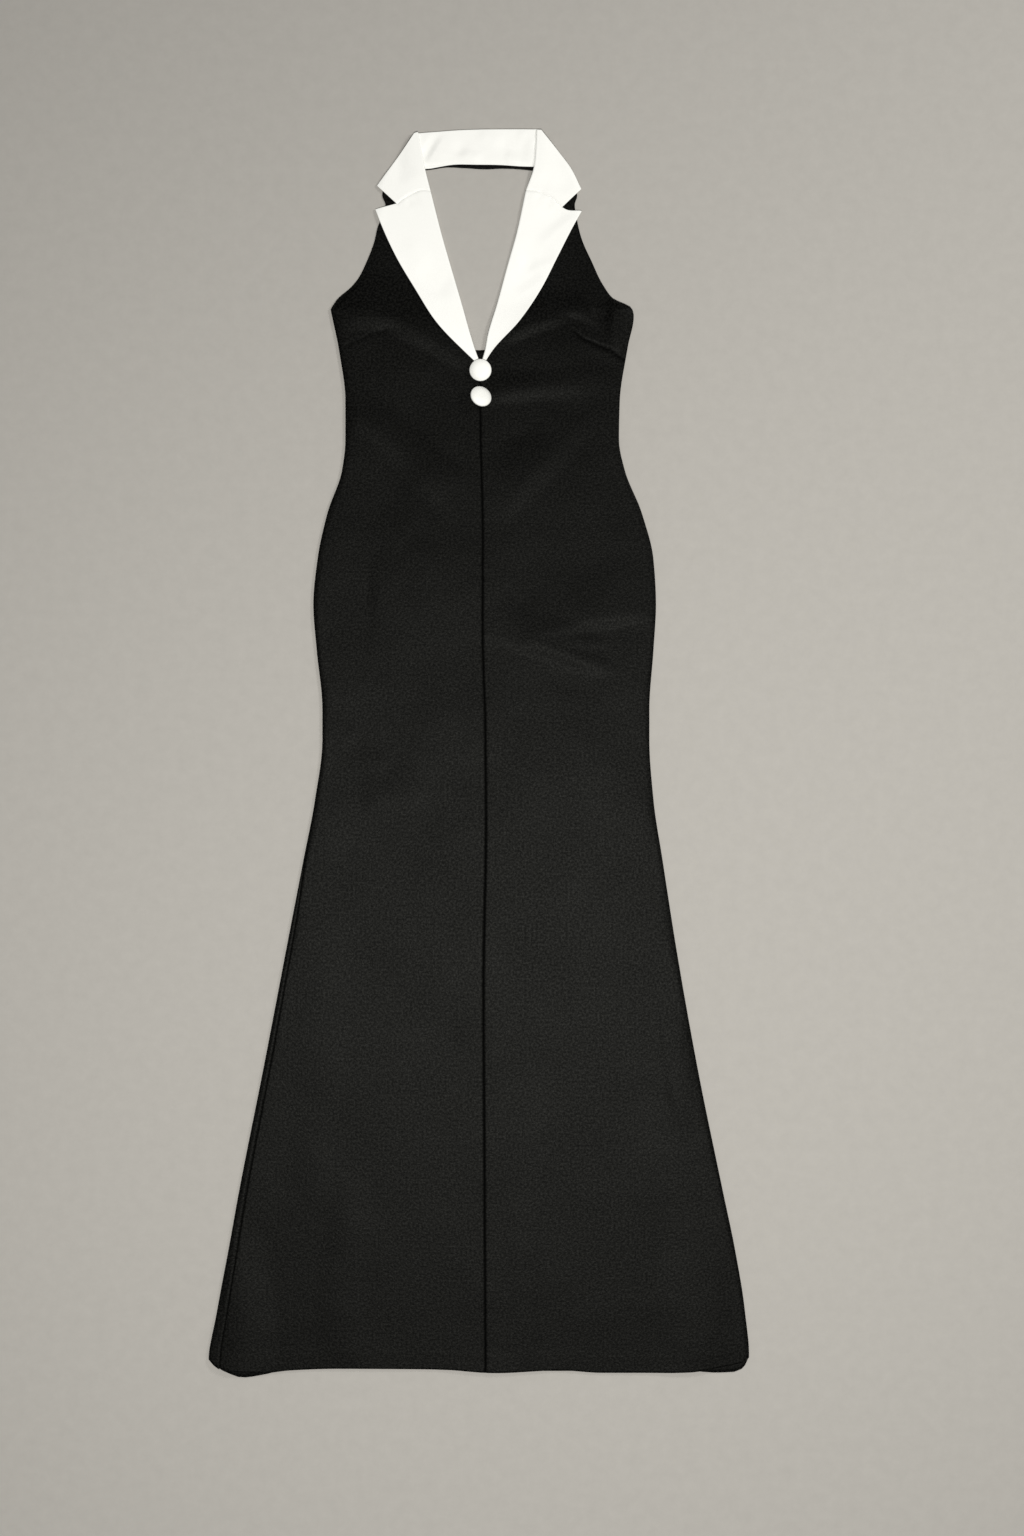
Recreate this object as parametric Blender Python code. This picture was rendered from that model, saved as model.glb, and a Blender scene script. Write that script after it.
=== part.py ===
"""Floor-length halter dress with a notched collar and lapels, laid flat on its back, face up.

Metres, +Z up. +Y runs from the hem to the collar and +X to the right as one looks down on the front.
The origin is at the bottom centre of the whole, on the surface that the dress lies on.

The laid body is a flattened tube. Its back lies on the floor and its two fronts lie on the back. Every
panel is a grid of points in the middle of the cloth, and a Solidify modifier gives it its wall. A point
is placed by its distance x from the middle and its height h above the lowest point of the hem, both in
millimetres, so that h runs along the dress as it does when the dress is worn.
"""

import math

import bmesh
import bpy
import numpy as np
from mathutils import Quaternion, Vector

MM = 0.001

# Driving sizes, in millimetres
LENGTH = 1517.0  # lowest point of the hem to the top of the neck band
CLOTH = 1.5  # wall of the black cloth
FACING = 1.8  # wall of the white collar, lapels and neck band, which are two layers with a stiffener
GAP = 0.3  # space left between neighbouring pieces
SEAM = 0.5  # space at a side seam, measured on the middle of the cloth. It narrows to about GAP inside
ROLL = CLOTH + GAP  # radius of the turn at the sides, so that the seam lies level with the upper layer
UNDERARM = 1299.0  # height at which the side seams end
BACK_DIP = 50.0  # how far the top of the back sinks at its middle
BACK_HALF = 180.0  # half the width of the back's top edge
BACK_CURVE = 1.7  # power of that edge's curve: 2 is a parabola, 1 a plain V
STEP_DOWN = 16.0  # run over which the fronts sink from the back to the floor, above the back's top edge
RIM_RUN = 20.0  # run over which the fronts sink from the rim of the turned sides onto the back
CALM_EDGE = 22.0  # width of the strip inside the sides where folds and puffs die out
HEM_FADE = 130.0  # height over which the wave of the hem dies out
TUCK = 9.0  # width of the collar's inner margin, which lies over the ends of the neck band
DROOP = 1.5  # how far the collar and lapels sink where they hang over the straps' outer edges
BUTTON_WIDTH = 26.7
BUTTON_THICKNESS = 7.0
BUTTON_RIM = 2.2  # radius of a button's round rim
SHANK_WIDTH = 8.0
UPPER_SHANK = 2.6
LOWER_SHANK = 6.0
LOWER_TILT = math.radians(31.0)  # the lower button has flopped over on its long shank
LOWER_LEAN = math.radians(43.0)  # and its raised edge lies this far below the -X axis
LOWER_LIFT = 2.1  # height of its shank's tip over the fronts, which lets its low edge just clear them

# Colours, linear
BLACK = (0.012, 0.012, 0.011, 1.0)
WHITE = (0.86, 0.85, 0.80, 1.0)


def table(columns, rows):
    """A short table as one array for each named column."""
    return dict(zip(columns.split(), np.array(rows, dtype=float).T))


# The outline: how far its left and right edges stand from the middle, from the hem to the strap's top
SIDES = table("height left right", (
    (0, -329, 329), (28, -328, 329), (83, -318, 324), (156, -304, 312), (228, -291, 297),
    (374, -262, 267), (520, -234, 241), (629, -213, 224), (702, -199, 213), (775, -190, 208),
    (812, -190, 208), (885, -197, 213), (940, -201, 216), (994, -196, 213), (1050, -184, 199),
    (1103, -166, 178), (1140, -162, 171), (1188, -162, 172), (1254, -170, 182), (1290, -178, 189),
    (1299, -180, 187), (1303, -177, 182), (1307, -175, 172), (1313, -170, 162), (1324, -157, 154),
    (1336, -147, 147), (1354, -138, 139), (1383, -127, 126), (1397, -124, 122), (1412, -118, 119),
    (1426, -114, 117), (1437, -118, 120), (1452, -114, 114), (1475, -100, 102), (1496, -86, 88),
))

# The inner edges of the fronts: the centre seam up to the point of the V, then the edges under the lapels
INNER = table("height left right", (
    (0, 8.5, 8.5), (284, 7, 7), (470, 6, 6), (678, 9, 9), (798, 8, 8), (895, 5, 5), (1025, 5, 5),
    (1172, 2, 2), (1222, 2, 2), (1232, -2, 7), (1247, -7, 10), (1266, -13, 14), (1305, -24, 26),
    (1353, -38, 39), (1388, -48, 49), (1443, -62, 61), (1471, -69, 70), (1496, -74, 74),
))

# Distance of the left side seam from the fold, measured round the cloth onto the front
LEFT_SEAM = table("height across", (
    (0, 13.6), (95, 12.3), (170, 10.4), (550, 5.6), (640, 2.0), (760, 0.8), (1300, 0.8),
))

# Height of the hem across the fronts and across the back, which shows below them at both corners
FRONT_HEM = table("x height", (
    (-329, 24), (-320, 15), (-304, 9), (-287, 7), (-259, 6), (-229, 9), (-171, 11), (-47, 10),
    (19, 6), (99, 9), (150, 6), (223, 6), (257, 7), (287, 12), (320, 19), (329, 28),
))
BACK_HEM = table("x height", (
    (-329, 24), (-320, 14), (-304, 5), (-287, 0), (-259, 4), (-229, 11), (-171, 13), (19, 8),
    (150, 8), (257, 8), (287, 6), (312, 7), (322, 12), (329, 26),
))

# Full places in the fronts: the bust cups, and where the lower skirt stands off the back
PUFFS = table("x height half_width half_length rise", (
    (-97, 1252, 78, 74, 8.5),
    (101, 1255, 76, 72, 10.0),
    (-40, 985, 130, 150, 1.6),
    (45, 760, 140, 190, 1.4),
    (-285, 20, 46, 190, 3.2),
    (20, 0, 80, 150, 1.6),
    (262, 10, 60, 220, 2.6),
))

# Folds: each runs straight from its start to its end, and rises or sinks over its half width
FOLDS = table("x0 height0 x1 height1 half_width rise", (
    (-150, 1152, -29, 1036, 30, 2.4),
    (123, 1158, 26, 1055, 34, 2.8),
    (30, 1190, 118, 1192, 22, 1.8),
    (99, 906, 192, 910, 24, 3.0),
    (26, 899, 87, 870, 20, 2.6),
    (80, 872, 148, 860, 18, 4.0),
    (-126, 1006, -129, 909, 26, 1.2),
    (-160, 668, -82, 700, 28, 1.8),
    (236, 445, 254, 300, 22, 2.2),
    (-140, 1277, -70, 1281, 24, 2.0),
    (-122, 1268, -158, 1252, 10, -2.2),
    (113, 1277, 143, 1256, 11, -3.4),
    (143, 1256, 176, 1238, 11, -3.4),
    (162, 1318, 158, 1272, 16, -2.4),
))

# The lapels and the collar, point by point from the neck. The gorge seam joins the two
LAPEL = {
    -1: {
        "inner": (
            (-60, 1443), (-46, 1388), (-36, 1353), (-22, 1305), (-11, 1266), (-4.5, 1247), (1, 1232),
        ),
        "outer": (
            (-125, 1420), (-118, 1402), (-100, 1363), (-77, 1324), (-51, 1285), (-17.5, 1247), (-6, 1232),
        ),
        "step": ((-99, 1427), (-125, 1420)),
    },
    1: {
        "inner": (
            (59, 1443), (47, 1388), (37, 1353), (24, 1305), (12, 1266), (8, 1247), (4.5, 1232),
        ),
        "outer": (
            (125, 1418), (116, 1402), (96, 1363), (76, 1324), (50, 1285), (15, 1247), (9.5, 1232),
        ),
        "step": ((101, 1423), (106, 1420), (125, 1418)),
    },
}
GORGE = {
    -1: ((-60, 1443), (-66, 1444), (-81, 1439), (-93, 1432), (-99, 1427)),
    1: ((59, 1443), (66, 1443), (80, 1439), (94, 1430), (101, 1423)),
}
COLLAR = {
    -1: {
        "inner": ((-75, 1513), (-71, 1492), (-67, 1471), (-60, 1443)),
        "outer": ((-78, 1512), (-93, 1490), (-107, 1471), (-123, 1449)),
        "step": ((-99, 1427), (-123, 1449)),
    },
    1: {
        "inner": ((72, 1516), (71, 1492), (69, 1472), (59, 1443)),
        "outer": ((76, 1516), (97, 1490), (112, 1470), (124, 1448)),
        "step": ((101, 1423), (124, 1444), (124, 1448)),
    },
}
NECK_BAND = {
    "top": ((-76, 1512), (-50, 1514), (-22, 1516), (20, 1517), (74, 1517)),
    "bottom": ((-71, 1474), (0, 1474), (73, 1473.5)),
}
UNDER_BAND = {
    "top": ((-73.5, 1503), (0, 1507), (73.5, 1504)),
    "bottom": ((-68, 1472), (-35, 1471), (2, 1469.5), (38, 1469.5), (69, 1471)),
}

# Where the middles of the buttons show: x and height
UPPER_BUTTON = (2.4, 1224.0)
LOWER_BUTTON = (3.5, 1192.0)

# The grids: heights of the rows by stretch, and distances of the outer columns from the side seam
ROWS = table("first last step", (
    (0, 16, 8), (16, 826, 54), (826, 946, 15), (946, 1206, 26), (1206, 1286, 8.9),
    (1286, 1328, 4.2), (1328, 1496, 21),
))
TURN_COLUMNS = (0.0, 0.25, 1.1, 2.0, 2.9)
EDGE_COLUMNS = (*TURN_COLUMNS, 7.0, 14.0, 24.0)
NARROW = 60.0  # where a panel is narrower than this, its outer columns close up
INNER_COLUMNS = 12
BACK_COLUMNS = 14
BACK_TOP_RAMP = 1150.0  # height from which the back's rows begin to follow its top edge
GORGE_POINTS = 6
STEP_POINTS = 4
ACROSS = GORGE_POINTS + STEP_POINTS - 1
LAPEL_ROWS = 15
COLLAR_ROWS = 10
BAND_COLUMNS = 15
BAND_ROWS = 5
BUTTON_SIDES = 20


def smooth(where, places, values):
    """A curve through the table's rows that never swings past them.

    Cubic Hermite pieces, whose slope at each row is the harmonic mean of the slopes on its two sides,
    and nought where those differ in sign.
    """
    step = np.diff(places)
    slope = np.diff(values) / step
    product = slope[1:] * slope[:-1]
    total = slope[1:] + slope[:-1]
    inner = np.where(product > 0, 2 * product / np.where(total == 0, 1, total), 0)
    tangent = np.concatenate(([slope[0]], inner, [slope[-1]]))
    row = np.clip(np.searchsorted(places, where) - 1, 0, len(step) - 1)
    t = np.clip((where - places[row]) / step[row], 0, 1)
    start = values[row] * (1 + 2 * t) * (1 - t) ** 2 + tangent[row] * step[row] * t * (1 - t) ** 2
    end = values[row + 1] * (3 - 2 * t) * t**2 + tangent[row + 1] * step[row] * t**2 * (t - 1)
    return start + end


def ease(t):
    """Nought up to t = 0, one from t = 1, and a smooth step between."""
    t = np.clip(t, 0, 1)
    return t * t * (3 - 2 * t)


def bump(distance, reach):
    """One at distance 0, falling smoothly to nought at the reach and staying there."""
    return np.clip(1 - (distance / reach) ** 2, 0, 1) ** 2


def side_edge(side, height):
    return smooth(height, SIDES["height"], SIDES["left" if side < 0 else "right"])


def inner_edge(side, height):
    return smooth(height, INNER["height"], INNER["left" if side < 0 else "right"])


def back_top(x):
    """Height of the back's top edge, which sinks towards its middle."""
    return UNDERARM - BACK_DIP * (1 - np.clip(np.abs(x) / BACK_HALF, 0, 1) ** BACK_CURVE)


def roll_radius(height):
    """Radius of the turned side, which dies out just above the underarm."""
    return ROLL * (1 - ease((height - UNDERARM + 1) / 12))


def rest_level(x, height):
    """Middle of the upper cloth where it lies on the back, or on the floor above the back's top edge."""
    off_back = ease((height - back_top(x) - 1) / STEP_DOWN)
    return CLOTH / 2 + (CLOTH + GAP) * (1 - off_back)


def from_side(x, height):
    """Distance from the nearer edge of the outline, less than nought outside it."""
    return np.minimum(x - side_edge(-1, height), side_edge(1, height) - x)


def relief(x, height):
    """How far the puffs and folds raise the upper cloth. They die out at the sides."""
    rise = np.zeros(np.broadcast(x, height).shape)
    for px, ph, wide, long, up in zip(*PUFFS.values()):
        rise += up * bump(np.hypot((x - px) / wide, (height - ph) / long), 1)
    for x0, h0, x1, h1, wide, up in zip(*FOLDS.values()):
        run = np.hypot(x1 - x0, h1 - h0)
        along = ((x - x0) * (x1 - x0) + (height - h0) * (h1 - h0)) / run
        beyond = along - np.clip(along, 0, run)
        across = ((x - x0) * (h1 - h0) - (height - h0) * (x1 - x0)) / run
        rise += up * bump(np.hypot(across, beyond), wide)
    return np.maximum(rise, 0) * ease((from_side(x, height) - ROLL) / CALM_EDGE)


def upper_level(x, height):
    """Middle of the upper cloth: where it rests, the soft rim along the sides, and the relief."""
    rim = roll_radius(height) * (1 - ease((from_side(x, height) - 2 * ROLL) / RIM_RUN))
    return rest_level(x, height) + rim + relief(x, height)


def rows():
    """Heights of the grid's rows."""
    stretches = [np.arange(a, b - 0.01, step) for a, b, step in zip(*ROWS.values())]
    return np.concatenate(stretches + [[ROWS["last"][-1]]])[:, None]


def hem_height(level, x, hem):
    """Height of a row's point: the row's own, and near the hem also the hem's wave."""
    return level + smooth(x, hem["x"], hem["height"]) * np.clip(1 - level / HEM_FADE, 0, 1) ** 2


def fold_line(side, height):
    """Outermost line of the turned side, in the middle of the cloth."""
    return side_edge(side, height) - side * CLOTH / 2 * roll_radius(height) / ROLL


def round_the_side(side, along, height):
    """Place and angle of points at a distance along the cloth from its fold: a quarter turn, then level."""
    radius = roll_radius(height)
    angle = np.minimum(along / np.maximum(radius, MM), math.pi / 2)
    inwards = radius * (1 - np.cos(angle)) + np.maximum(along - radius * math.pi / 2, 0)
    return fold_line(side, height) - side * inwards, angle


def seam_distance(side, level):
    """How far the middle of a side seam lies from the fold, round the cloth. The right one is on it."""
    if side > 0:
        return np.zeros_like(level)
    return smooth(level, LEFT_SEAM["height"], LEFT_SEAM["across"])


def front_points(side):
    """One front: from the side seam over the fold's rim to the centre seam or the V."""
    level = rows()
    corner = hem_height(level, side * SIDES["right"][0], FRONT_HEM)
    inner = inner_edge(side, level) + side * GAP / 2
    length = np.abs(fold_line(side, corner) - inner) + roll_radius(corner) * (math.pi / 2 - 1)
    start = seam_distance(side, level) + SEAM / 2
    edge = np.array([EDGE_COLUMNS]) * np.clip((length - start) / NARROW, 0, 1)
    share = np.linspace(0, 1, INNER_COLUMNS + 1)[None, 1:]
    last = start + edge[:, -1:]
    along = np.hstack((start + edge, last + (length - last) * share))
    x, angle = round_the_side(side, along, corner)
    height = hem_height(level, x, FRONT_HEM)
    rest = rest_level(x, height)
    z = rest + (upper_level(x, height) - rest) * np.sin(angle)
    return np.stack((x, height, z), axis=-1)


def back_points():
    """The back: from the left seam round the left fold, along the floor and up the right fold."""
    level = rows()
    level = level[level[:, 0] <= UNDERARM]
    level[-1] = UNDERARM
    corner = hem_height(level, SIDES["left"][0], BACK_HEM)
    upper = (seam_distance(-1, level) - SEAM / 2) * np.array([[1, 0.66, 0.33]])
    lower = np.array([TURN_COLUMNS]) * np.ones_like(level)
    left_x, left_angle = round_the_side(-1, np.hstack((upper, lower)), corner)
    corner = hem_height(level, SIDES["right"][0], BACK_HEM)
    right_x, right_angle = round_the_side(1, lower[:, ::-1] + SEAM / 2, corner)
    share = np.linspace(0, 1, BACK_COLUMNS + 2)[None, 1:-1]
    flat_x = left_x[:, -1:] + (right_x[:, :1] - left_x[:, -1:]) * share
    x = np.hstack((left_x, flat_x, right_x))
    angle = np.hstack((left_angle, np.full(flat_x.shape, math.pi / 2), right_angle))
    sink = (UNDERARM - back_top(x)) * ease((level - BACK_TOP_RAMP) / (UNDERARM - BACK_TOP_RAMP))
    height = hem_height(level, x, BACK_HEM) - sink
    z = CLOTH / 2 + roll_radius(height) * (1 - np.sin(angle))
    rest = rest_level(x, height)
    on_front = rest + (upper_level(x, height) - rest) * np.sin(angle)
    turned_over = np.arange(x.shape[1]) < upper.shape[1]
    return np.stack((x, height, np.where(turned_over, on_front, z)), axis=-1)


def curve(points, count):
    """Points spaced evenly by their chords along a smooth curve through the given ones."""
    points = np.array(points, dtype=float)
    chord = np.concatenate(([0], np.cumsum(np.hypot(*np.diff(points, axis=0).T))))
    where = np.linspace(0, chord[-1], count)
    if len(points) == 2:
        return points[0] + (points[1] - points[0]) * (where / chord[-1])[:, None]
    slope = np.gradient(points, chord, axis=0)
    row = np.clip(np.searchsorted(chord, where) - 1, 0, len(chord) - 2)
    step = np.diff(chord)[row][:, None]
    t = (where[:, None] - chord[row][:, None]) / step
    start = points[row] * (1 + 2 * t) * (1 - t) ** 2 + slope[row] * step * t * (1 - t) ** 2
    end = points[row + 1] * (3 - 2 * t) * t**2 + slope[row + 1] * step * t**2 * (t - 1)
    return start + end


def patch(top, bottom, start, end):
    """A grid between four edges that meet at its corners: the mean of the two ways to blend them.

    Each point is the blend of start and end, plus the blend of top and bottom, less the blend of the
    four corners. top and bottom run across, start and end run down.
    """
    u = np.linspace(0, 1, len(top))[None, :, None]
    v = np.linspace(0, 1, len(start))[:, None, None]
    across = start[:, None] * (1 - u) + end[:, None] * u
    down = top[None] * (1 - v) + bottom[None] * v
    first = top[0] * (1 - u) + top[-1] * u
    last = bottom[0] * (1 - u) + bottom[-1] * u
    return across + down - first * (1 - v) - last * v


def stepped_edge(side, step, shift):
    """The gorge seam from the neck to the notch and the free edge from there to the tip."""
    seam = curve(GORGE[side], GORGE_POINTS) + (0, shift)
    free = curve(step, STEP_POINTS)
    free[0] = seam[-1]
    return np.vstack((seam, free[1:]))


def overhang_drop(x, height):
    """How far a piece on the strap sinks where it hangs over the strap's outer edge."""
    return DROOP * ease((-from_side(x, height) - 1) / 12)


def lapel_points(side):
    """A lapel, moved out from the front that it lies on."""
    edges = LAPEL[side]
    top = stepped_edge(side, edges["step"], -GAP / 2)
    inner = curve(edges["inner"], LAPEL_ROWS)
    inner[0] = top[0]
    outer = curve(edges["outer"], LAPEL_ROWS)
    end = curve((edges["inner"][-1], edges["outer"][-1]), ACROSS)
    flat = patch(top, end, inner, outer)
    x, height = flat[..., 0], flat[..., 1]
    z = upper_level(x, height) + CLOTH / 2 + 2 * GAP + FACING / 2 - overhang_drop(x, height)
    return np.stack((x, height, z), axis=-1)


def collar_points(side):
    """A collar leaf, on the strap and, along its inner margin, over the end of the neck band."""
    edges = COLLAR[side]
    bottom = stepped_edge(side, edges["step"], GAP / 2)
    inner = curve(edges["inner"], COLLAR_ROWS)
    inner[-1] = bottom[0]
    outer = curve(edges["outer"], COLLAR_ROWS)
    outer[-1] = bottom[-1]
    top = curve((edges["inner"][0], edges["outer"][0]), ACROSS)
    flat = patch(top, bottom, inner, outer)
    x, height = flat[..., 0], flat[..., 1]
    margin = np.abs(x - inner[:, None, 0])
    below_band = NECK_BAND["bottom"][0][1] - height
    over_band = (1 - ease((margin - TUCK) / TUCK)) * (1 - ease((below_band - 4) / 22))
    z = CLOTH + 2 * GAP + FACING / 2 - overhang_drop(x, height)
    return np.stack((x, height, z + (FACING + GAP) * over_band), axis=-1)


def band_points(edges, level):
    """A straight band across the nape, at one level."""
    top = curve(edges["top"], BAND_COLUMNS)
    bottom = curve(edges["bottom"], BAND_COLUMNS)
    start = curve((top[0], bottom[0]), BAND_ROWS)
    end = curve((top[-1], bottom[-1]), BAND_ROWS)
    flat = patch(top, bottom, start, end)
    return np.dstack((flat, np.full(flat.shape[:2], level)))


def material(name, colour, roughness):
    made = bpy.data.materials.new(name)
    made.use_nodes = True
    shader = made.node_tree.nodes["Principled BSDF"]
    shader.inputs["Base Color"].default_value = colour
    shader.inputs["Roughness"].default_value = roughness
    shader.inputs["Metallic"].default_value = 0.0
    return made


def add_object(name, mesh, finish):
    made = bpy.data.objects.new(name, mesh)
    bpy.context.scene.collection.objects.link(made)
    mesh.materials.append(finish)
    return made


def cloth(name, points, wall, colour):
    """A cloth piece from its grid of (x, height, z) points, given its wall by Solidify."""
    down, across = points.shape[:2]
    place = points.reshape(-1, 3) - (0, LENGTH / 2, 0)
    corner = np.arange(down * across).reshape(down, across)
    a, b = corner[:-1, :-1], corner[:-1, 1:]
    c, d = corner[1:, 1:], corner[1:, :-1]
    faces = np.stack((a, b, c, d), axis=-1).reshape(-1, 4)
    mesh = bpy.data.meshes.new(name)
    mesh.from_pydata((place * MM).tolist(), [], faces.tolist())
    mesh.shade_smooth()
    mesh.set_sharp_from_angle(angle=math.radians(50))
    made = add_object(name, mesh, material(name, colour, 0.85))
    solid = made.modifiers.new("Wall", "SOLIDIFY")
    solid.thickness = wall * MM
    solid.offset = 0
    solid.use_quality_normals = True


def button_profile(shank):
    """Half section of a covered button: the shank, the flat underside, the round rim and the dome."""
    centre = BUTTON_WIDTH / 2 - BUTTON_RIM
    turn = np.radians(np.arange(-90, 61, 30))
    outline = [(0, 0), (SHANK_WIDTH / 2, 0), (SHANK_WIDTH / 2, shank)]
    for angle in turn:
        side = centre + BUTTON_RIM * math.cos(angle)
        outline.append((side, shank + BUTTON_RIM * (1 + math.sin(angle))))
    edge, edge_height = outline[-1]
    top = shank + BUTTON_THICKNESS
    for share in (0.66, 0.33, 0):
        outline.append((edge * share, top - (top - edge_height) * share**2))
    return outline


def button(name, middle, shank, tilt, lift):
    """A covered button, turned round its axis, with its middle over a given spot of the fronts.

    It is tilted about the level line that leaves its low edge at the upper right.
    """
    work = bmesh.new()
    outline = [work.verts.new((r * MM, 0, z * MM)) for r, z in button_profile(shank)]
    edges = [work.edges.new(pair) for pair in zip(outline, outline[1:])]
    bmesh.ops.spin(
        work, geom=outline + edges, cent=(0, 0, 0), axis=(0, 0, 1), dvec=(0, 0, 0),
        angle=2 * math.pi, steps=BUTTON_SIDES, use_merge=True,
    )
    bmesh.ops.remove_doubles(work, verts=work.verts, dist=1e-6)
    bmesh.ops.recalc_face_normals(work, faces=work.faces)
    mesh = bpy.data.meshes.new(name)
    work.to_mesh(mesh)
    work.free()
    mesh.shade_smooth()
    mesh.set_sharp_from_angle(angle=math.radians(50))
    made = add_object(name, mesh, material(name, WHITE, 0.6))
    turn = Quaternion(Vector((-math.sin(LOWER_LEAN), math.cos(LOWER_LEAN), 0)), tilt)
    lean = turn @ Vector((0, 0, shank + BUTTON_THICKNESS / 2))
    x, height = middle
    on_fronts = 2 * CLOTH + 2 * GAP
    made.location = Vector((x - lean.x, height - LENGTH / 2 - lean.y, on_fronts + lift)) * MM
    made.rotation_mode = "QUATERNION"
    made.rotation_quaternion = turn


def main():
    for old in list(bpy.data.objects):
        bpy.data.objects.remove(old, do_unlink=True)
    for side, word in ((-1, "left"), (1, "right")):
        cloth(f"front_{word}", front_points(side), CLOTH, BLACK)
        cloth(f"lapel_{word}", lapel_points(side), FACING, WHITE)
        cloth(f"collar_{word}", collar_points(side), FACING, WHITE)
    cloth("back", back_points(), CLOTH, BLACK)
    cloth("under_band", band_points(UNDER_BAND, CLOTH / 2), CLOTH, BLACK)
    cloth("neck_band", band_points(NECK_BAND, CLOTH + GAP + FACING / 2), FACING, WHITE)
    button("button_upper", UPPER_BUTTON, UPPER_SHANK, 0.0, 0.0)
    button("button_lower", LOWER_BUTTON, LOWER_SHANK, LOWER_TILT, LOWER_LIFT)


main()
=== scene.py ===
"""Looks of a halter dress laid flat, face up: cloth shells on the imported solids, buttons, stage and light.

Every panel is a grid of points in the middle of its cloth, worked out from its place x across the dress and
its height h above the lowest point of the hem, both in millimetres, and then given its wall. The panels rest
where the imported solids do. The finer folds, the rolled edges and the seams are added here.
"""

import math

import bpy
import numpy as np
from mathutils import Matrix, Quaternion, Vector


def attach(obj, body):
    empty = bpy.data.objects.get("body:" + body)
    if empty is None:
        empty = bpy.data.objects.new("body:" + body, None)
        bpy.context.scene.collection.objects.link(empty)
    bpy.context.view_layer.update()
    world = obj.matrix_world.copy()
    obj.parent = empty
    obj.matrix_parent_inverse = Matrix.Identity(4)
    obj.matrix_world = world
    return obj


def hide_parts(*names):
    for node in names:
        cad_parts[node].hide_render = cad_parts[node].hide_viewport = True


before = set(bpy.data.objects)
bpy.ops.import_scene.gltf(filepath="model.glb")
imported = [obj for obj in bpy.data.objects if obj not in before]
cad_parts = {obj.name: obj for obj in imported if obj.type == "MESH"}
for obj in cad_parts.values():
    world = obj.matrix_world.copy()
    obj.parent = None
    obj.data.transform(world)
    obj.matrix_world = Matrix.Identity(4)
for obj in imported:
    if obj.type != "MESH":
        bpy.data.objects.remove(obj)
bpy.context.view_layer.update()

bl_info = {
    "name": "Halter dress, laid flat",
    "version": (1, 0, 0),
    "blender": (4, 5, 0),
    "location": "3D View > Sidebar > Dress",
    "description": "Builds the looks of a laid halter dress round its packed solids",
    "category": "Add Mesh",
}

MM = 0.001
BODY = "root"

# Sizes shared with the solids, in millimetres
LENGTH = 1517.0
CLOTH = 1.5
FACING = 1.8
GAP = 0.3
ROLL = CLOTH + GAP
ROLL_RUN = 7.5
ROLL_POWER = 0.8
UNDERARM = 1299.0
BACK_DIP = 50.0
BACK_HALF = 180.0
BACK_CURVE = 1.7
STEP_DOWN = 84.0
RIM_RUN = 80.0
CALM_EDGE = 12.0
CALM_STRAP = 7.0
HEM_FADE = 130.0
TUCK = 9.0
DROOP = 1.5
BUTTON_THICKNESS = 7.0
UPPER_SHANK = 2.6
LOWER_SHANK = 6.0
LOWER_TILT = math.radians(31.0)
LOWER_LEAN = math.radians(43.0)
LOWER_LIFT = 2.1


def table(columns, rows):
    """A short table as one array for each named column."""
    return dict(zip(columns.split(), np.array(rows, dtype=float).T))


# The outline: how far its left and right edges stand from the middle, from the hem to the strap's top
SIDES = table("height left right", (
    (0, -329, 329), (28, -328, 329), (83, -318, 324), (156, -304, 312), (228, -291, 297),
    (374, -262, 267), (520, -234, 241), (629, -213, 224), (702, -199, 213), (775, -190, 208),
    (812, -190, 208), (885, -197, 213), (940, -201, 216), (994, -196, 213), (1050, -184, 199),
    (1103, -166, 178), (1140, -162, 171), (1188, -162, 172), (1254, -170, 182), (1290, -178, 189),
    (1299, -180, 187), (1303, -177, 182), (1307, -175, 172), (1313, -170, 162), (1324, -157, 154),
    (1336, -147, 147), (1354, -138, 139), (1383, -127, 126), (1397, -124, 122), (1412, -118, 119),
    (1426, -114, 117), (1437, -118, 120), (1452, -114, 114), (1475, -100, 102), (1496, -86, 88),
))

# The inner edges of the fronts: the centre seam, then the edges under the lapels
INNER = table("height left right", (
    (0, 8.5, 8.5), (284, 7, 7), (470, 6, 6), (678, 9, 9), (798, 8, 8), (895, 5, 5), (1025, 5, 5),
    (1172, 2, 2), (1222, 2, 2), (1232, -2, 7), (1247, -7, 10), (1266, -13, 14), (1305, -24, 26),
    (1353, -38, 39), (1388, -48, 49), (1443, -62, 61), (1471, -69, 70), (1496, -74, 74),
))

# Distance of the left side seam from the fold, measured round the cloth onto the front
LEFT_SEAM = table("height across", (
    (0, 13.6), (95, 12.3), (170, 10.4), (550, 5.6), (640, 2.0), (760, 0.8), (1300, 0.8),
))

# Height of the hem across the fronts and across the back
FRONT_HEM = table("x height", (
    (-329, 24), (-320, 15), (-304, 9), (-287, 7), (-259, 6), (-229, 9), (-171, 11), (-47, 10),
    (19, 6), (99, 9), (150, 6), (223, 6), (257, 7), (287, 12), (320, 19), (329, 28),
))
BACK_HEM = table("x height", (
    (-329, 24), (-320, 14), (-304, 5), (-287, 0), (-259, 4), (-229, 11), (-171, 13), (19, 8),
    (150, 8), (257, 8), (287, 6), (312, 7), (322, 12), (329, 26),
))

# Full places in the fronts
PUFFS = table("x height half_width half_length rise", (
    (-94, 1246, 90, 84, 1.8),
    (98, 1250, 88, 82, 2.2),
    (-40, 985, 130, 150, 1.6),
    (45, 760, 140, 190, 1.4),
    (-285, 20, 46, 190, 3.2),
    (20, 0, 80, 150, 1.6),
    (262, 10, 60, 220, 2.6),
))

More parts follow.
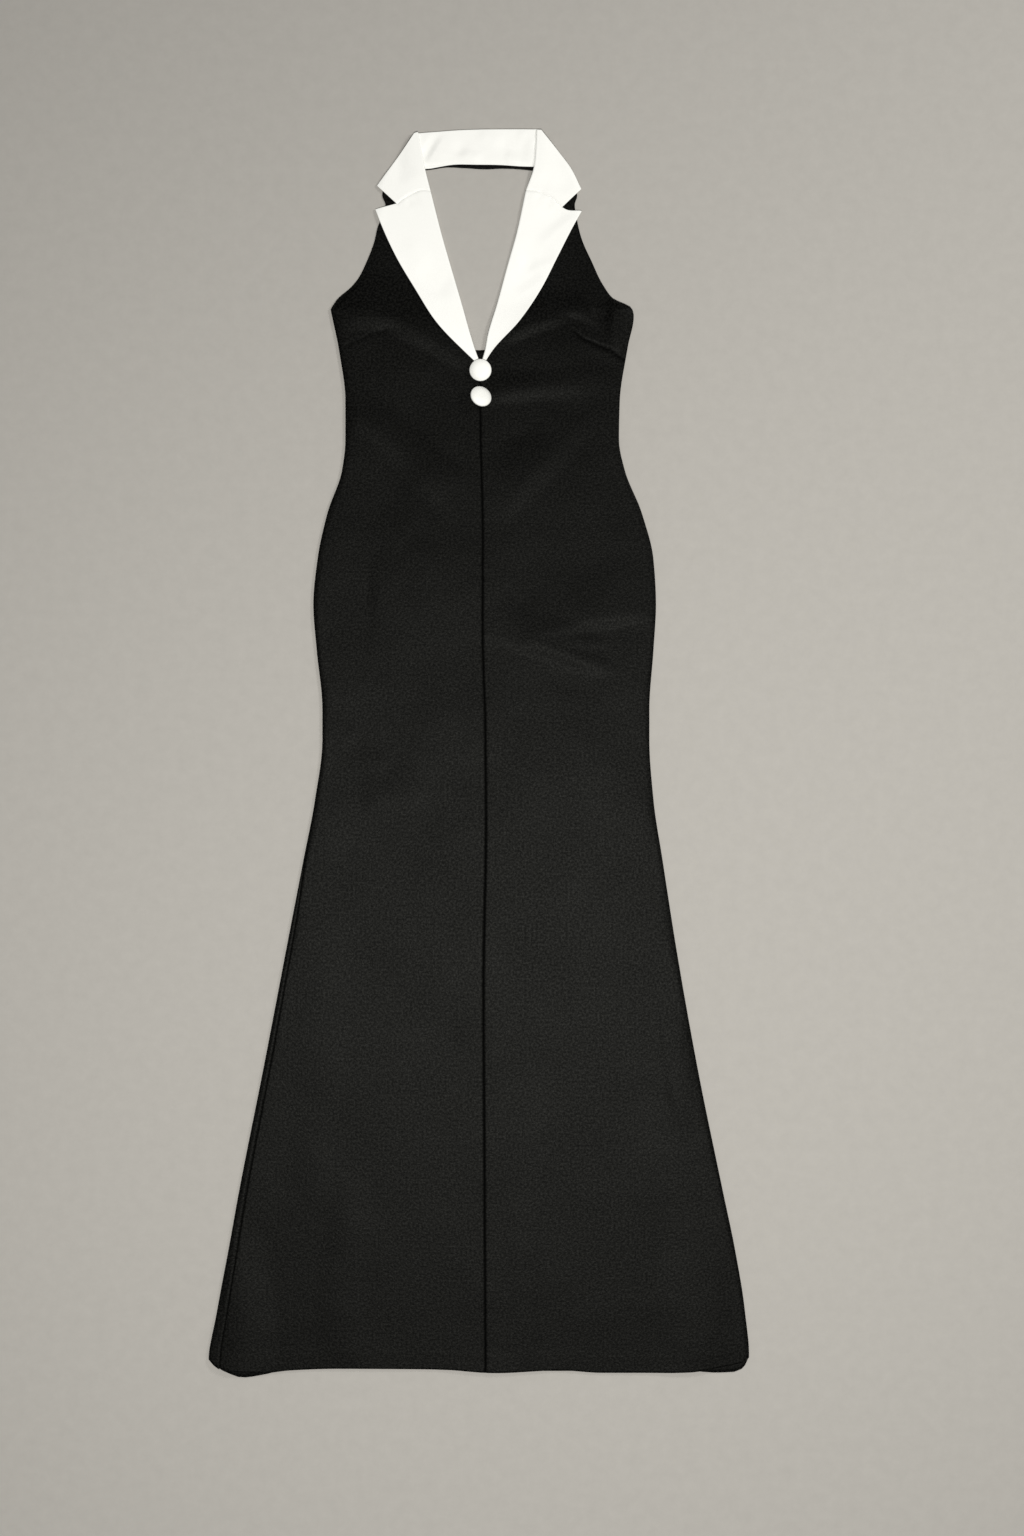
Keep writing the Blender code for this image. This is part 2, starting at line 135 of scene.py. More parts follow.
# The folds. Each runs from its start to its end, bows to its right by its bow, and dies out at both ends.
# It reaches less far on its steep side; left and right are seen along its run
FOLDS = table("x0 height0 x1 height1 bow left right rise", (
    (-186, 1284, -68, 1289, -7, 46, 20, 2.9),
    (-126, 1297, -4, 1222, -8, 44, 19, 3.0),
    (-66, 1240, -22, 1186, -4, 20, 26, 0.8),
    (6, 1258, 126, 1301, -2, 44, 20, 2.6),
    (90, 1304, 172, 1268, -8, 34, 18, 2.3),
    (171, 1230, 167, 1338, 0, 21, 26, 3.8),
    (157, 1256, 144, 1384, 0, 16, 13, -3.4),
    (34, 1268, 62, 1210, -5, 20, 20, -0.5),
    (96, 1246, 176, 1222, -4, 24, 24, -0.7),
    (-16, 1195, 152, 1209, 0, 30, 19, 2.1),
    (-176, 1190, -16, 1038, -12, 50, 25, 2.6),
    (-76, 1184, 2, 1106, -6, 34, 34, -0.8),
    (-176, 1140, -84, 1040, -8, 22, 22, -0.6),
    (150, 1192, 8, 1034, 3, 25, 52, 2.7),
    (16, 1170, 104, 1146, 4, 26, 26, -1.1),
    (166, 1132, 96, 1040, -6, 24, 24, -0.6),
    (50, 903, 240, 936, -3, 90, 19, 2.2),
    (84, 893, 236, 870, 2, 13, 20, -1.0),
    (-8, 908, 92, 891, 2, 56, 15, 1.7),
    (38, 901, 172, 853, -4, 36, 15, 3.1),
    (70, 850, 180, 830, -6, 22, 22, -0.6),
    (-117, 858, -119, 1008, 0, 22, 50, 1.3),
    (-72, 1030, -52, 950, 4, 34, 34, 0.8),
    (-182, 796, -148, 772, 2, 18, 18, 0.8),
    (-146, 762, -106, 740, 2, 18, 18, 0.8),
    (-152, 690, -54, 718, -2, 36, 18, 1.8),
    (-158, 722, -142, 644, 6, 24, 24, -0.8),
    (108, 680, 186, 674, 3, 26, 26, -0.8),
    (224, 474, 250, 284, 2, 44, 17, 1.6),
    (-256, 350, -242, 276, 2, 20, 20, -0.9),
    (-126, 110, -92, 30, 4, 22, 22, -0.8),
    (-20, 600, 10, 340, -14, 44, 44, 1.1),
    (108, 600, 134, 290, 12, 46, 46, -1.0),
    (-184, 560, -218, 180, -8, 38, 38, 1.2),
    (60, 280, 66, -10, 8, 34, 34, 1.1),
    (-60, 340, -70, 10, -8, 40, 40, -1.1),
    (170, 300, 188, 0, -6, 34, 34, -1.2),
    (-146, 280, -168, -10, 6, 30, 30, 1.1),
))

END_RUN = 0.36  # share of a fold's length over which it dies out at each end

# Lines of stitching in a panel, drawn in a little: the darts, as polylines
DARTS = (
    ((-163, 1252), (-155, 1256), (-143, 1262), (-131, 1268), (-115, 1273), (-101, 1276)),
    ((180, 1234), (174, 1238), (160, 1248), (143, 1255), (127, 1262), (118, 1269), (110, 1278)),
)
DART_DEPTH = (0.4, 1.3)
DART_HALF = 2.4
# Painted shade along each dart, left and right: how far the cloth's colour is darkened there
DART_SHADE = (0.3, 1.0)

# A slight unevenness of the whole cloth: waves by direction in degrees, length and height
WAVES = table("direction length rise phase", (
    (8, 210, 0.30, 0.3), (71, 150, 0.22, 1.9), (128, 117, 0.18, 4.1), (37, 83, 0.13, 2.2),
    (158, 64, 0.09, 5.0), (98, 47, 0.06, 0.9), (52, 33, 0.035, 3.3), (140, 26, 0.025, 1.2),
))

# The lapels and the collar, point by point from the neck. The gorge seam joins the two
LAPEL = {
    -1: {
        "inner": (
            (-60, 1443), (-46, 1388), (-36, 1353), (-22, 1305), (-11, 1266), (-5, 1247), (0, 1234),
        ),
        "outer": (
            (-125, 1420), (-118, 1402), (-100, 1363), (-77, 1324), (-51, 1283), (-16.5, 1247), (-2.5, 1234),
        ),
        "step": ((-99, 1427), (-125, 1420)),
    },
    1: {
        "inner": (
            (59, 1443), (47, 1388), (37, 1353), (24, 1305), (12.5, 1266), (9, 1247), (5, 1234),
        ),
        "outer": (
            (125, 1418), (116, 1402), (96, 1363), (76, 1324), (50, 1285), (15.5, 1247), (7, 1234),
        ),
        "step": ((101, 1423), (106, 1420), (125, 1418)),
    },
}
GORGE = {
    -1: ((-60, 1443), (-66, 1444), (-81, 1439), (-93, 1432), (-99, 1427)),
    1: ((59, 1443), (66, 1443), (80, 1439), (94, 1430), (101, 1423)),
}
COLLAR = {
    -1: {
        "inner": ((-75, 1513), (-71, 1492), (-67, 1471), (-60, 1443)),
        "outer": ((-78, 1512), (-93, 1490), (-107, 1471), (-123, 1449)),
        "step": ((-99, 1427), (-123, 1449)),
    },
    1: {
        "inner": ((72, 1516), (71, 1492), (69, 1472), (59, 1443)),
        "outer": ((76, 1516), (97, 1490), (112, 1470), (124.5, 1445)),
        "step": ((101, 1423), (124.5, 1445)),
    },
}
NECK_BAND = {
    "top": ((-76, 1512), (-50, 1514), (-22, 1516), (20, 1517), (74, 1517)),
    "bottom": (
        (-71, 1469.5), (-58, 1470.4), (-46, 1472.6), (-34, 1474.6), (0, 1475), (27, 1474.6), (51, 1473), (73, 1472.4),
    ),
}
UNDER_BAND = {
    "top": ((-73.5, 1503), (0, 1507), (73.5, 1504)),
    "bottom": (
        (-68, 1467.8), (-56, 1469.2), (-40, 1471.6), (-18, 1470.9), (10, 1469.4), (27, 1470.2), (51, 1469.3), (69, 1467.3),
    ),
}

# Soft places in the white pieces
FACING_FOLDS = table("x0 height0 x1 height1 bow left right rise", (
    (-78, 1350, -28, 1316, 3, 34, 15, -1.8),
    (-96, 1384, -62, 1340, -4, 18, 18, 0.7),
    (-70, 1435, -90, 1426, 2, 12, 12, -0.9),
    (-110, 1486, -84, 1450, 2, 26, 16, -1.1),
    (121, 1428, 54, 1372, 4, 17, 38, -2.2),
    (94, 1366, 46, 1351, 2, 13, 28, -1.8),
    (82, 1348, 34, 1318, 3, 12, 26, -1.4),
    (66, 1437, 92, 1424, -2, 12, 12, -1.1),
    (112, 1466, 92, 1440, -2, 14, 14, -0.7),
))
BAND_FOLDS = table("x0 height0 x1 height1 bow left right rise", (
    (-44, 1515, -70, 1474, 2, 7, 9, -2.0),
    (-28, 1514, -60, 1480, -2, 16, 14, 1.2),
    (-52, 1504, -8, 1492, 3, 20, 12, -1.4),
    (-26, 1490, 8, 1482, 2, 12, 12, 1.2),
    (-4, 1514, 34, 1500, 2, 14, 14, 1.0),
    (18, 1504, 68, 1488, 3, 22, 13, -1.6),
    (30, 1488, 54, 1478, 1, 10, 10, 0.9),
    (46, 1516, 72, 1496, 1, 10, 10, 0.9),
    (-72, 1473.2, -34, 1476.4, 0, 1.6, 2.2, -1.1),
))

# How far the neck band's lower edge turns down, and over what height
LIP_DROP = 1.1
LIP_RUN = 7.0

# Where the middles of the buttons show: x and height
UPPER_BUTTON = (2.4, 1224.0)
LOWER_BUTTON = (3.5, 1192.0)

# The grids. Columns are distances from an edge; the rest are spread evenly
ROWS = table("first last step", (
    (0, 24, 2.6), (24, 830, 5.6), (830, 950, 4.0), (950, 1226, 4.2), (1226, 1298, 1.7), (1298, 1496, 3.4),
))
SEAM_COLUMNS = (0.0, 0.25, 0.6, 1.1, 1.6, 2.0, 2.4, 2.9, 4.0, 6.0, 9.0, 13.0, 18.0, 24.0)
CENTRE_COLUMNS = (0.0, 0.3, 0.7, 1.2, 1.9, 2.8, 4.0, 6.0, 9.0, 13.0)
NARROW = 60.0
FRONT_COLUMNS = 88
BACK_COLUMNS = 70
BACK_TOP_RAMP = 1150.0


def smooth(where, places, values):
    """A curve through the table's rows that never swings past them.

    Cubic Hermite pieces, whose slope at each row is the harmonic mean of the slopes on its two sides,
    and nought where those differ in sign.
    """
    step = np.diff(places)
    slope = np.diff(values) / step
    product = slope[1:] * slope[:-1]
    total = slope[1:] + slope[:-1]
    inner = np.where(product > 0, 2 * product / np.where(total == 0, 1, total), 0)
    tangent = np.concatenate(([slope[0]], inner, [slope[-1]]))
    row = np.clip(np.searchsorted(places, where) - 1, 0, len(step) - 1)
    t = np.clip((where - places[row]) / step[row], 0, 1)
    start = values[row] * (1 + 2 * t) * (1 - t) ** 2 + tangent[row] * step[row] * t * (1 - t) ** 2
    end = values[row + 1] * (3 - 2 * t) * t**2 + tangent[row + 1] * step[row] * t**2 * (t - 1)
    return start + end


def ease(t):
    """Nought up to t = 0, one from t = 1, and a smooth step between."""
    t = np.clip(t, 0, 1)
    return t * t * (3 - 2 * t)


def bump(distance, reach):
    """One at distance 0, falling smoothly to nought at the reach and staying there."""
    return np.clip(1 - (distance / reach) ** 2, 0, 1) ** 2


def side_edge(side, height):
    return smooth(height, SIDES["height"], SIDES["left" if side < 0 else "right"])


def inner_edge(side, height):
    return smooth(height, INNER["height"], INNER["left" if side < 0 else "right"])


def back_top(x):
    """Height of the back's top edge, which sinks towards its middle."""
    return UNDERARM - BACK_DIP * (1 - np.clip(np.abs(x) / BACK_HALF, 0, 1) ** BACK_CURVE)


def roll_radius(height):
    """Radius of the turned side, which dies out just above the underarm."""
    return ROLL * (1 - ease((height - UNDERARM + 1) / 12))


def rest_level(x, height):
    """Middle of the upper cloth where it lies on the back, or on the floor above the back's top edge."""
    off_back = ease((height - back_top(x) - 1) / STEP_DOWN)
    return CLOTH / 2 + (CLOTH + GAP) * (1 - off_back)


def from_side(x, height):
    """Distance from the nearer edge of the outline, less than nought outside it."""
    return np.minimum(x - side_edge(-1, height), side_edge(1, height) - x)


def folds(x, height, rows, uneven):
    """Sum of folds: each a smooth ridge or trough along a line that bows and dies out at its ends.

    A point's place along the fold's chord gives the line's sideways bow, a parabola, and the strength,
    which swells and thins by the share `uneven`. Its distance from that line, to the left or to the right,
    gives the ridge's height.
    """
    rise = np.zeros(np.broadcast(x, height).shape)
    for number, (x0, h0, x1, h1, bow, left, right, up) in enumerate(zip(*rows.values())):
        run = np.hypot(x1 - x0, h1 - h0)
        share = ((x - x0) * (x1 - x0) + (height - h0) * (h1 - h0)) / run**2
        across = ((x - x0) * (h1 - h0) - (height - h0) * (x1 - x0)) / run
        across = across - bow * 4 * share * (1 - share)
        swell = 1 - uneven * (0.5 + 0.5 * np.sin(share * 7 + 2.4 * number))
        strength = up * swell * ease(share / END_RUN) * ease((1 - share) / END_RUN)
        reach = np.where(across > 0, right, left) * (1 + 0.6 * uneven * np.sin(3 * share + number))
        rise += strength * bump(across, reach)
    return rise


def relief(x, height):
    """How far the puffs and the largest folds raise the upper cloth, as the solids have them."""
    rise = np.zeros(np.broadcast(x, height).shape)
    for px, ph, wide, long, up in zip(*PUFFS.values()):
        rise += up * bump(np.hypot((x - px) / wide, (height - ph) / long), 1)
    return np.maximum(rise + folds(x, height, FOLDS, 0.35), 0) * calm(x, height)


def calm(x, height):
    """One inside a panel, dying out at the sides, and faster along the strap's free edges."""
    run = CALM_EDGE + (CALM_STRAP - CALM_EDGE) * ease((height - UNDERARM) / 10)
    return ease((from_side(x, height) - ROLL) / run)


def upper_level(x, height):
    """Middle of the upper cloth: where it rests, the soft rim along the sides, and the relief."""
    rim = roll_radius(height) * (1 - ease((from_side(x, height) - 2 * ROLL) / RIM_RUN))
    return rest_level(x, height) + rim + relief(x, height)


def line_distance(x, height, points):
    """Distance of each grid point from a polyline, and its share along it."""
    nearest = np.full(np.broadcast(x, height).shape, np.inf)
    share = np.zeros_like(nearest)
    for number, ((x0, h0), (x1, h1)) in enumerate(zip(points, points[1:])):
        run = (x1 - x0) ** 2 + (h1 - h0) ** 2
        t = np.clip(((x - x0) * (x1 - x0) + (height - h0) * (h1 - h0)) / run, 0, 1)
        distance = np.hypot(x - x0 - t * (x1 - x0), height - h0 - t * (h1 - h0))
        share = np.where(distance < nearest, (number + t) / (len(points) - 1), share)
        nearest = np.minimum(nearest, distance)
    return nearest, share


def unevenness(x, height):
    """The slight waviness of cloth that has been laid down by hand: a sum of long, low sine waves."""
    rise = np.zeros(np.broadcast(x, height).shape)
    for direction, length, up, phase in zip(*WAVES.values()):
        angle = math.radians(direction)
        place = x * math.cos(angle) + height * math.sin(angle)
        bent = place + 0.11 * length * np.sin((x * math.sin(angle) - height * math.cos(angle)) / length + phase)
        rise += up * np.sin(2 * math.pi * bent / length + phase)
    return rise


def fine_relief(x, height):
    """The finer creases, the darts and the unevenness, which die out at the sides and stay over the back."""
    depth = bpy.context.scene.dress_sizes.crease_depth
    rise = unevenness(x, height)
    for points, deep in zip(DARTS, DART_DEPTH):
        distance, share = line_distance(x, height, points)
        rise = rise - deep * np.exp(-((distance / DART_HALF) ** 2)) * ease((1 - share) / 0.25)
    return depth * rise * calm(x, height)


def laid_level(x, height):
    """Middle of the upper cloth with all its folds, never below where it rests."""
    floor = rest_level(x, height) - 0.12
    raised = upper_level(x, height) + fine_relief(x, height)
    over = raised - floor
    return floor + 0.5 * (over + np.sqrt(over**2 + 0.09))


def rows():
    """Heights of the grid's rows."""
    stretches = [np.arange(a, b - 0.01, step) for a, b, step in zip(*ROWS.values())]
    return np.concatenate(stretches + [[ROWS["last"][-1]]])[:, None]


def hem_height(level, x, hem):
    """Height of a row's point: the row's own, and near the hem also the hem's wave."""
    return level + smooth(x, hem["x"], hem["height"]) * np.clip(1 - level / HEM_FADE, 0, 1) ** 2


def fold_line(side, height):
    """Outermost line of the turned side, in the middle of the cloth."""
    return side_edge(side, height) - side * CLOTH / 2 * roll_radius(height) / ROLL


def round_the_side(side, along, height):
    """Place and angle of points at a distance along the cloth from its fold: a quarter turn, then level."""
    radius = roll_radius(height)
    angle = np.minimum(along / np.maximum(radius, MM), math.pi / 2)
    inwards = radius * (1 - np.cos(angle)) + np.maximum(along - radius * math.pi / 2, 0)
    return fold_line(side, height) - side * inwards, angle


def rise_share(along, height):
    """Share of its full height that the upper cloth has reached at a distance along it from the fold."""
    run = np.maximum(ROLL_RUN * roll_radius(height) / ROLL, MM)
    return np.sin(math.pi / 2 * np.clip(along / run, 0, 1) ** ROLL_POWER)


def seam_distance(side, level):
    """How far the middle of a side seam lies from the fold, round the cloth. The right one is on it."""
    if side > 0:
        return np.zeros_like(level)
    return smooth(level, LEFT_SEAM["height"], LEFT_SEAM["across"])


def seam_dip(distance, depth, half):
    """How far cloth turns down beside a seam, as a bell over the distance from it."""
    return depth * np.exp(-((distance / half) ** 2))


def front_grid(side):
    """One front: round the fold at its side, over its folds, down into the centre seam.

    The columns run from the side seam to the centre. Beside the centre seam the cloth dips and puckers a
    little, and at the left side seam it dips too.
    """
    level = rows()
    corner = hem_height(level, side * SIDES["right"][0], FRONT_HEM)
    inner = inner_edge(side, level) + side * GAP / 4
    length = np.abs(fold_line(side, corner) - inner) + roll_radius(corner) * (math.pi / 2 - 1)
    start = seam_distance(side, level) + GAP / 2
    scale = np.clip((length - start) / NARROW, 0, 1)
    outer_edge = start + np.array([SEAM_COLUMNS]) * scale
    centre_edge = length - np.array([CENTRE_COLUMNS[::-1]]) * scale
    share = np.linspace(0, 1, FRONT_COLUMNS + 2)[None, 1:-1]
    between = outer_edge[:, -1:] + (centre_edge[:, :1] - outer_edge[:, -1:]) * share
    along = np.hstack((outer_edge, between, centre_edge))
    x, angle = round_the_side(side, along, corner)
    height = hem_height(level, x, FRONT_HEM)
    rest = rest_level(x, height)
    z = rest + (laid_level(x, height) - rest) * rise_share(along, height)
    to_centre = (length - along) / np.maximum(scale, 0.2)
    sewn_and_shaded = 1 - ease((height - INNER["height"][8]) / 8)
    pucker = 0.16 * np.sin(height / 2.9 + 1.7 * np.sin(height / 23)) * bump(to_centre, 9)
    z -= (seam_dip(to_centre, 0.85, 1.25) + pucker) * sewn_and_shaded
    to_side = along - start
    # Painted shade along the centre seam, the left side seam and the darts, which the finish darkens to near black
    seam_shade = np.exp(-((to_centre / 1.3) ** 2)) * sewn_and_shaded + np.exp(-((to_side / 1.2) ** 2))
    if side < 0:
        z -= seam_dip(to_side, 0.7, 1.1) * (angle > 1.5) * (1 - ease((height - UNDERARM) / 8))
    for points, dark in zip(DARTS, DART_SHADE):
        distance, share = line_distance(x, height, points)
        seam_shade += dark * np.exp(-((distance / 1.6) ** 2)) * ease((1 - share) / 0.2)
    return np.stack((x, height, z), axis=-1), np.minimum(seam_shade, 1)


def back_grid():
    """The back: from the left seam round the left fold, along the floor and up the right fold."""
    level = rows()[::2]
    level = level[level[:, 0] <= UNDERARM]
    level[-1] = UNDERARM
    corner = hem_height(level, SIDES["left"][0], BACK_HEM)
    upper_share = np.array([[1, 0.97, 0.93, 0.88, 0.8, 0.7, 0.6, 0.5, 0.4, 0.3, 0.2, 0.1]])
    upper = (seam_distance(-1, level) - GAP / 2) * upper_share
    turned = np.array([(0.0, 0.3, 0.7, 1.1, 1.6, 2.0, 2.4, 2.9, 5.0, 9.0)])
    lower = turned * np.ones_like(level)
    left_x, left_angle = round_the_side(-1, np.hstack((upper, lower)), corner)
    corner = hem_height(level, SIDES["right"][0], BACK_HEM)
    right_x, right_angle = round_the_side(1, lower[:, ::-1] + GAP / 2, corner)
    share = np.linspace(0, 1, BACK_COLUMNS + 2)[None, 1:-1]
    flat_x = left_x[:, -1:] + (right_x[:, :1] - left_x[:, -1:]) * share
    x = np.hstack((left_x, flat_x, right_x))
    angle = np.hstack((left_angle, np.full(flat_x.shape, math.pi / 2), right_angle))
    sink = (UNDERARM - back_top(x)) * ease((level - BACK_TOP_RAMP) / (UNDERARM - BACK_TOP_RAMP))
    height = hem_height(level, x, BACK_HEM) - sink
    z = CLOTH / 2 + roll_radius(height) * (1 - np.sin(angle))
    rest = rest_level(x, height)
    seam = slice(upper.shape[1])
    to_seam = upper[:, :1] - upper
    level_there = laid_level(x[:, seam], height[:, seam])
    z[:, seam] = rest[:, seam] + (level_there - rest[:, seam]) * rise_share(upper, height[:, seam])
    z[:, seam] -= seam_dip(to_seam, 0.7, 1.1) * (angle[:, seam] > 1.5)
    return np.stack((x, height, z), axis=-1)


def curve(points, count):
    """Points spaced evenly by their chords along a smooth curve through the given ones."""
    points = np.array(points, dtype=float)
    chord = np.concatenate(([0], np.cumsum(np.hypot(*np.diff(points, axis=0).T))))
    where = np.linspace(0, chord[-1], count)
    if len(points) == 2:
        return points[0] + (points[1] - points[0]) * (where / chord[-1])[:, None]
    slope = np.gradient(points, chord, axis=0)
    row = np.clip(np.searchsorted(chord, where) - 1, 0, len(chord) - 2)
    step = np.diff(chord)[row][:, None]
    t = (where[:, None] - chord[row][:, None]) / step
    start = points[row] * (1 + 2 * t) * (1 - t) ** 2 + slope[row] * step * t * (1 - t) ** 2
    end = points[row + 1] * (3 - 2 * t) * t**2 + slope[row + 1] * step * t**2 * (t - 1)
    return start + end


def patch(top, bottom, start, end):
    """A grid between four edges that meet at its corners: the mean of the two ways to blend them."""
    u = np.linspace(0, 1, len(top))[None, :, None]
    v = np.linspace(0, 1, len(start))[:, None, None]
    across = start[:, None] * (1 - u) + end[:, None] * u
    down = top[None] * (1 - v) + bottom[None] * v
    first = top[0] * (1 - u) + top[-1] * u
    last = bottom[0] * (1 - u) + bottom[-1] * u
    return across + down - first * (1 - v) - last * v


GORGE_POINTS = 44
STEP_POINTS = 24
ACROSS = GORGE_POINTS + STEP_POINTS - 1


def stepped_edge(side, step, shift):
    """The gorge seam from the neck to the notch and the free edge from there to the tip."""
    seam = curve(GORGE[side], GORGE_POINTS) + (0, shift)
    free = curve(step, STEP_POINTS)
    free[0] = seam[-1]
    return np.vstack((seam, free[1:]))


EDGE_ROLL = 1.0
EDGE_TURNS = np.radians((90, 68, 45, 22))


def overhang_drop(x, height):
    """How far a piece on the strap sinks where it hangs over the strap's outer edge."""
    return DROOP * ease((-from_side(x, height) - 1) / 12)


def rolled_inner_edge(grid, drop):
    """The grid, kept off the floor, with its first column carried on round a small roll and then down."""
    grid[..., 2] = np.maximum(grid[..., 2], FACING / 2 + GAP)
    away = grid[:, 0, :2] - grid[:, 3, :2]
    away = away / np.linalg.norm(away, axis=1, keepdims=True)
    columns = []
    for angle in EDGE_TURNS:
        place = grid[:, 0].copy()
        place[:, :2] += away * EDGE_ROLL * math.sin(angle)
        place[:, 2] -= EDGE_ROLL * (1 - math.cos(angle))
        columns.append(place)
    columns[0][:, 2] = np.minimum(columns[0][:, 2], grid[:, 0, 2] - drop)
    turned = np.stack(columns, axis=1)
    turned[..., 2] = np.maximum(turned[..., 2], FACING / 2)
    return np.concatenate((turned, grid), axis=1)


def lapel_grid(side):
    """A lapel on the front that it lies on: rolled at its inner edge, and free, just off the front, outside."""
    edges = LAPEL[side]
    top = stepped_edge(side, edges["step"], -0.1)
    inner = curve(edges["inner"], 120)
    inner[0] = top[0]
    outer = curve(edges["outer"], 120)
    end = curve((edges["inner"][-1], edges["outer"][-1]), ACROSS)
    flat = patch(top, end, inner, outer)
    x, height = flat[..., 0], flat[..., 1]
    z = laid_level(x, height) + CLOTH / 2 + 2 * GAP + FACING / 2 - overhang_drop(x, height)
    z += folds(x, height, FACING_FOLDS, 0.3) + 0.3 * unevenness(x * 1.6, height * 1.6)
    to_seam = np.linspace(0, 1, 120)[:, None] * 200
    on_seam = (np.arange(ACROSS) < GORGE_POINTS)[None]
    z -= np.where(on_seam, seam_dip(to_seam, 1.2, 1.2), 0)
    free = np.linspace(0, 1, ACROSS)[None] ** 6
    z += 0.5 * free * ease(height / 1300)
    return rolled_inner_edge(np.stack((x, height, z), axis=-1), 2.0)


def collar_grid(side):
    """A collar leaf, on the strap and, along its inner margin, over the end of the neck band."""
    edges = COLLAR[side]
    bottom = stepped_edge(side, edges["step"], 0.1)
    inner = curve(edges["inner"], 56)
    inner[-1] = bottom[0]
    outer = curve(edges["outer"], 56)
    outer[-1] = bottom[-1]
    top = curve((edges["inner"][0], edges["outer"][0]), ACROSS)
    flat = patch(top, bottom, inner, outer)
    x, height = flat[..., 0], flat[..., 1]
    margin = np.abs(x - inner[:, None, 0])
    below_band = NECK_BAND["bottom"][0][1] - height
    over_band = (1 - ease((margin - TUCK / 2) / (3 * TUCK))) * (1 - ease((below_band - 4) / 22))
    z = CLOTH + 2 * GAP + FACING / 2 - overhang_drop(x, height) + (FACING + GAP) * over_band
    z += folds(x, height, FACING_FOLDS, 0.3) + 0.25 * unevenness(x * 1.6, height * 1.6)
    to_seam = (1 - np.linspace(0, 1, 56))[:, None] * 72
    on_seam = (np.arange(ACROSS) < GORGE_POINTS)[None]
    z -= np.where(on_seam, seam_dip(to_seam, 1.2, 1.2), 0)
    return rolled_inner_edge(np.stack((x, height, z), axis=-1), 0.9)


def band_grid(edges, level, creases, columns, rows_down):
    """A straight band across the nape, with its creases."""
    top = curve(edges["top"], columns)
    bottom = curve(edges["bottom"], columns)
    start = curve((top[0], bottom[0]), rows_down)
    end = curve((top[-1], bottom[-1]), rows_down)
    flat = patch(top, bottom, start, end)
    z = np.full(flat.shape[:2], level)
    if creases is not None:
        z += folds(flat[..., 0], flat[..., 1], creases, 0.3)
        z -= LIP_DROP * (1 - ease((flat[..., 1] - bottom[None, :, 1]) / LIP_RUN)) ** 2
    return np.dstack((flat, z))


def normals(grid):
    """Unit normal at each grid point: the cross product of the two ways along the grid."""
    across = np.gradient(grid, axis=1)
    down = np.gradient(grid, axis=0)
    normal = np.cross(across, down)
    return normal / np.maximum(np.linalg.norm(normal, axis=-1, keepdims=True), 1e-12)


def border(count_down, count_across):
    """Numbers of the grid's outer points, once round."""
    number = np.arange(count_down * count_across).reshape(count_down, count_across)
    return np.concatenate((number[0, :-1], number[:-1, -1], number[-1, :0:-1], number[:0:-1, 0]))


def shell(grid, wall, bulge):
    """A closed wall: the grid moved half a wall each way along its normals, and its rim rounded.

    The rim's middle stands out from the grid's border by `bulge`, square to the border in the cloth.
    Returns the points, the faces, and for each point its place in the grid.
    """
    down, across = grid.shape[:2]
    normal = normals(grid)
    half = np.broadcast_to(np.asarray(wall, dtype=float) / 2, grid.shape[:2])[..., None]
    upper = (grid + normal * half).reshape(-1, 3)
    lower = (grid - normal * half).reshape(-1, 3)
    number = np.arange(down * across).reshape(down, across)
    a, b = number[:-1, :-1], number[:-1, 1:]
    c, d = number[1:, 1:], number[1:, :-1]
    quads = np.stack((a, b, c, d), axis=-1).reshape(-1, 4)
    count = down * across
    rim = border(down, across)
    middle = grid.reshape(-1, 3)[rim]
    flat_normal = normal.reshape(-1, 3)[rim]
    tangent = np.roll(middle, -1, axis=0) - np.roll(middle, 1, axis=0)
    tangent = tangent / np.maximum(np.linalg.norm(tangent, axis=1, keepdims=True), 1e-12)
    outwards = np.cross(tangent, flat_normal)
    spread = np.broadcast_to(np.asarray(bulge, dtype=float), grid.shape[:2]).reshape(-1)[rim][:, None]
    rim_half = half.reshape(-1, 1)[rim]
    rings = []
    for angle in (50, 0, -50):
        reach = spread * math.cos(math.radians(angle))
        rise = rim_half * math.sin(math.radians(angle)) * 1.1
        rings.append(middle + outwards * reach + flat_normal * rise)
    points = np.concatenate([upper, lower] + rings)
    ring = np.arange(len(rim))
    chains = [rim] + [2 * count + len(rim) * level + ring for level in range(3)] + [rim + count]
    strips = []
    for first, second in zip(chains, chains[1:]):
        following, below = np.roll(first, -1), np.roll(second, -1)
        strips.append(np.stack((first, second, below, following), axis=-1))
    faces = np.concatenate([quads, quads[:, ::-1] + count] + strips)
    owner = np.concatenate((np.arange(count), np.arange(count)) + (rim,) * 3)
    return points, faces, owner


def mesh_object(name, points, faces, uv, finish, sewn_and_shaded=None):
    """A smooth-shaded object in metres from points in millimetres, with its UV map in metres of cloth."""
    mesh = bpy.data.meshes.new(name)
    place = (points - (0, LENGTH / 2, 0)) * MM
    sides = faces.shape[1]
    mesh.vertices.add(len(place))
    mesh.vertices.foreach_set("co", place.astype(np.float32).ravel())
    mesh.loops.add(faces.size)
    mesh.loops.foreach_set("vertex_index", faces.astype(np.int32).ravel())
    mesh.polygons.add(len(faces))
    mesh.polygons.foreach_set("loop_start", np.arange(0, faces.size, sides, dtype=np.int32))
    mesh.update(calc_edges=True)
    layer = mesh.uv_layers.new(name="cloth")
    layer.data.foreach_set("uv", (uv[faces.ravel()] * MM).astype(np.float32).ravel())
    mesh.polygons.foreach_set("use_smooth", np.ones(len(faces), dtype=bool))
    if sewn_and_shaded is not None:
        painted_shade = mesh.attributes.new("sewn_and_shaded", "FLOAT", "POINT")
        painted_shade.data.foreach_set("value", sewn_and_shaded.astype(np.float32))
    mesh.validate()
    mesh.materials.append(finish)
    made = bpy.data.objects.new(name, mesh)
    bpy.context.scene.collection.objects.link(made)
    return made


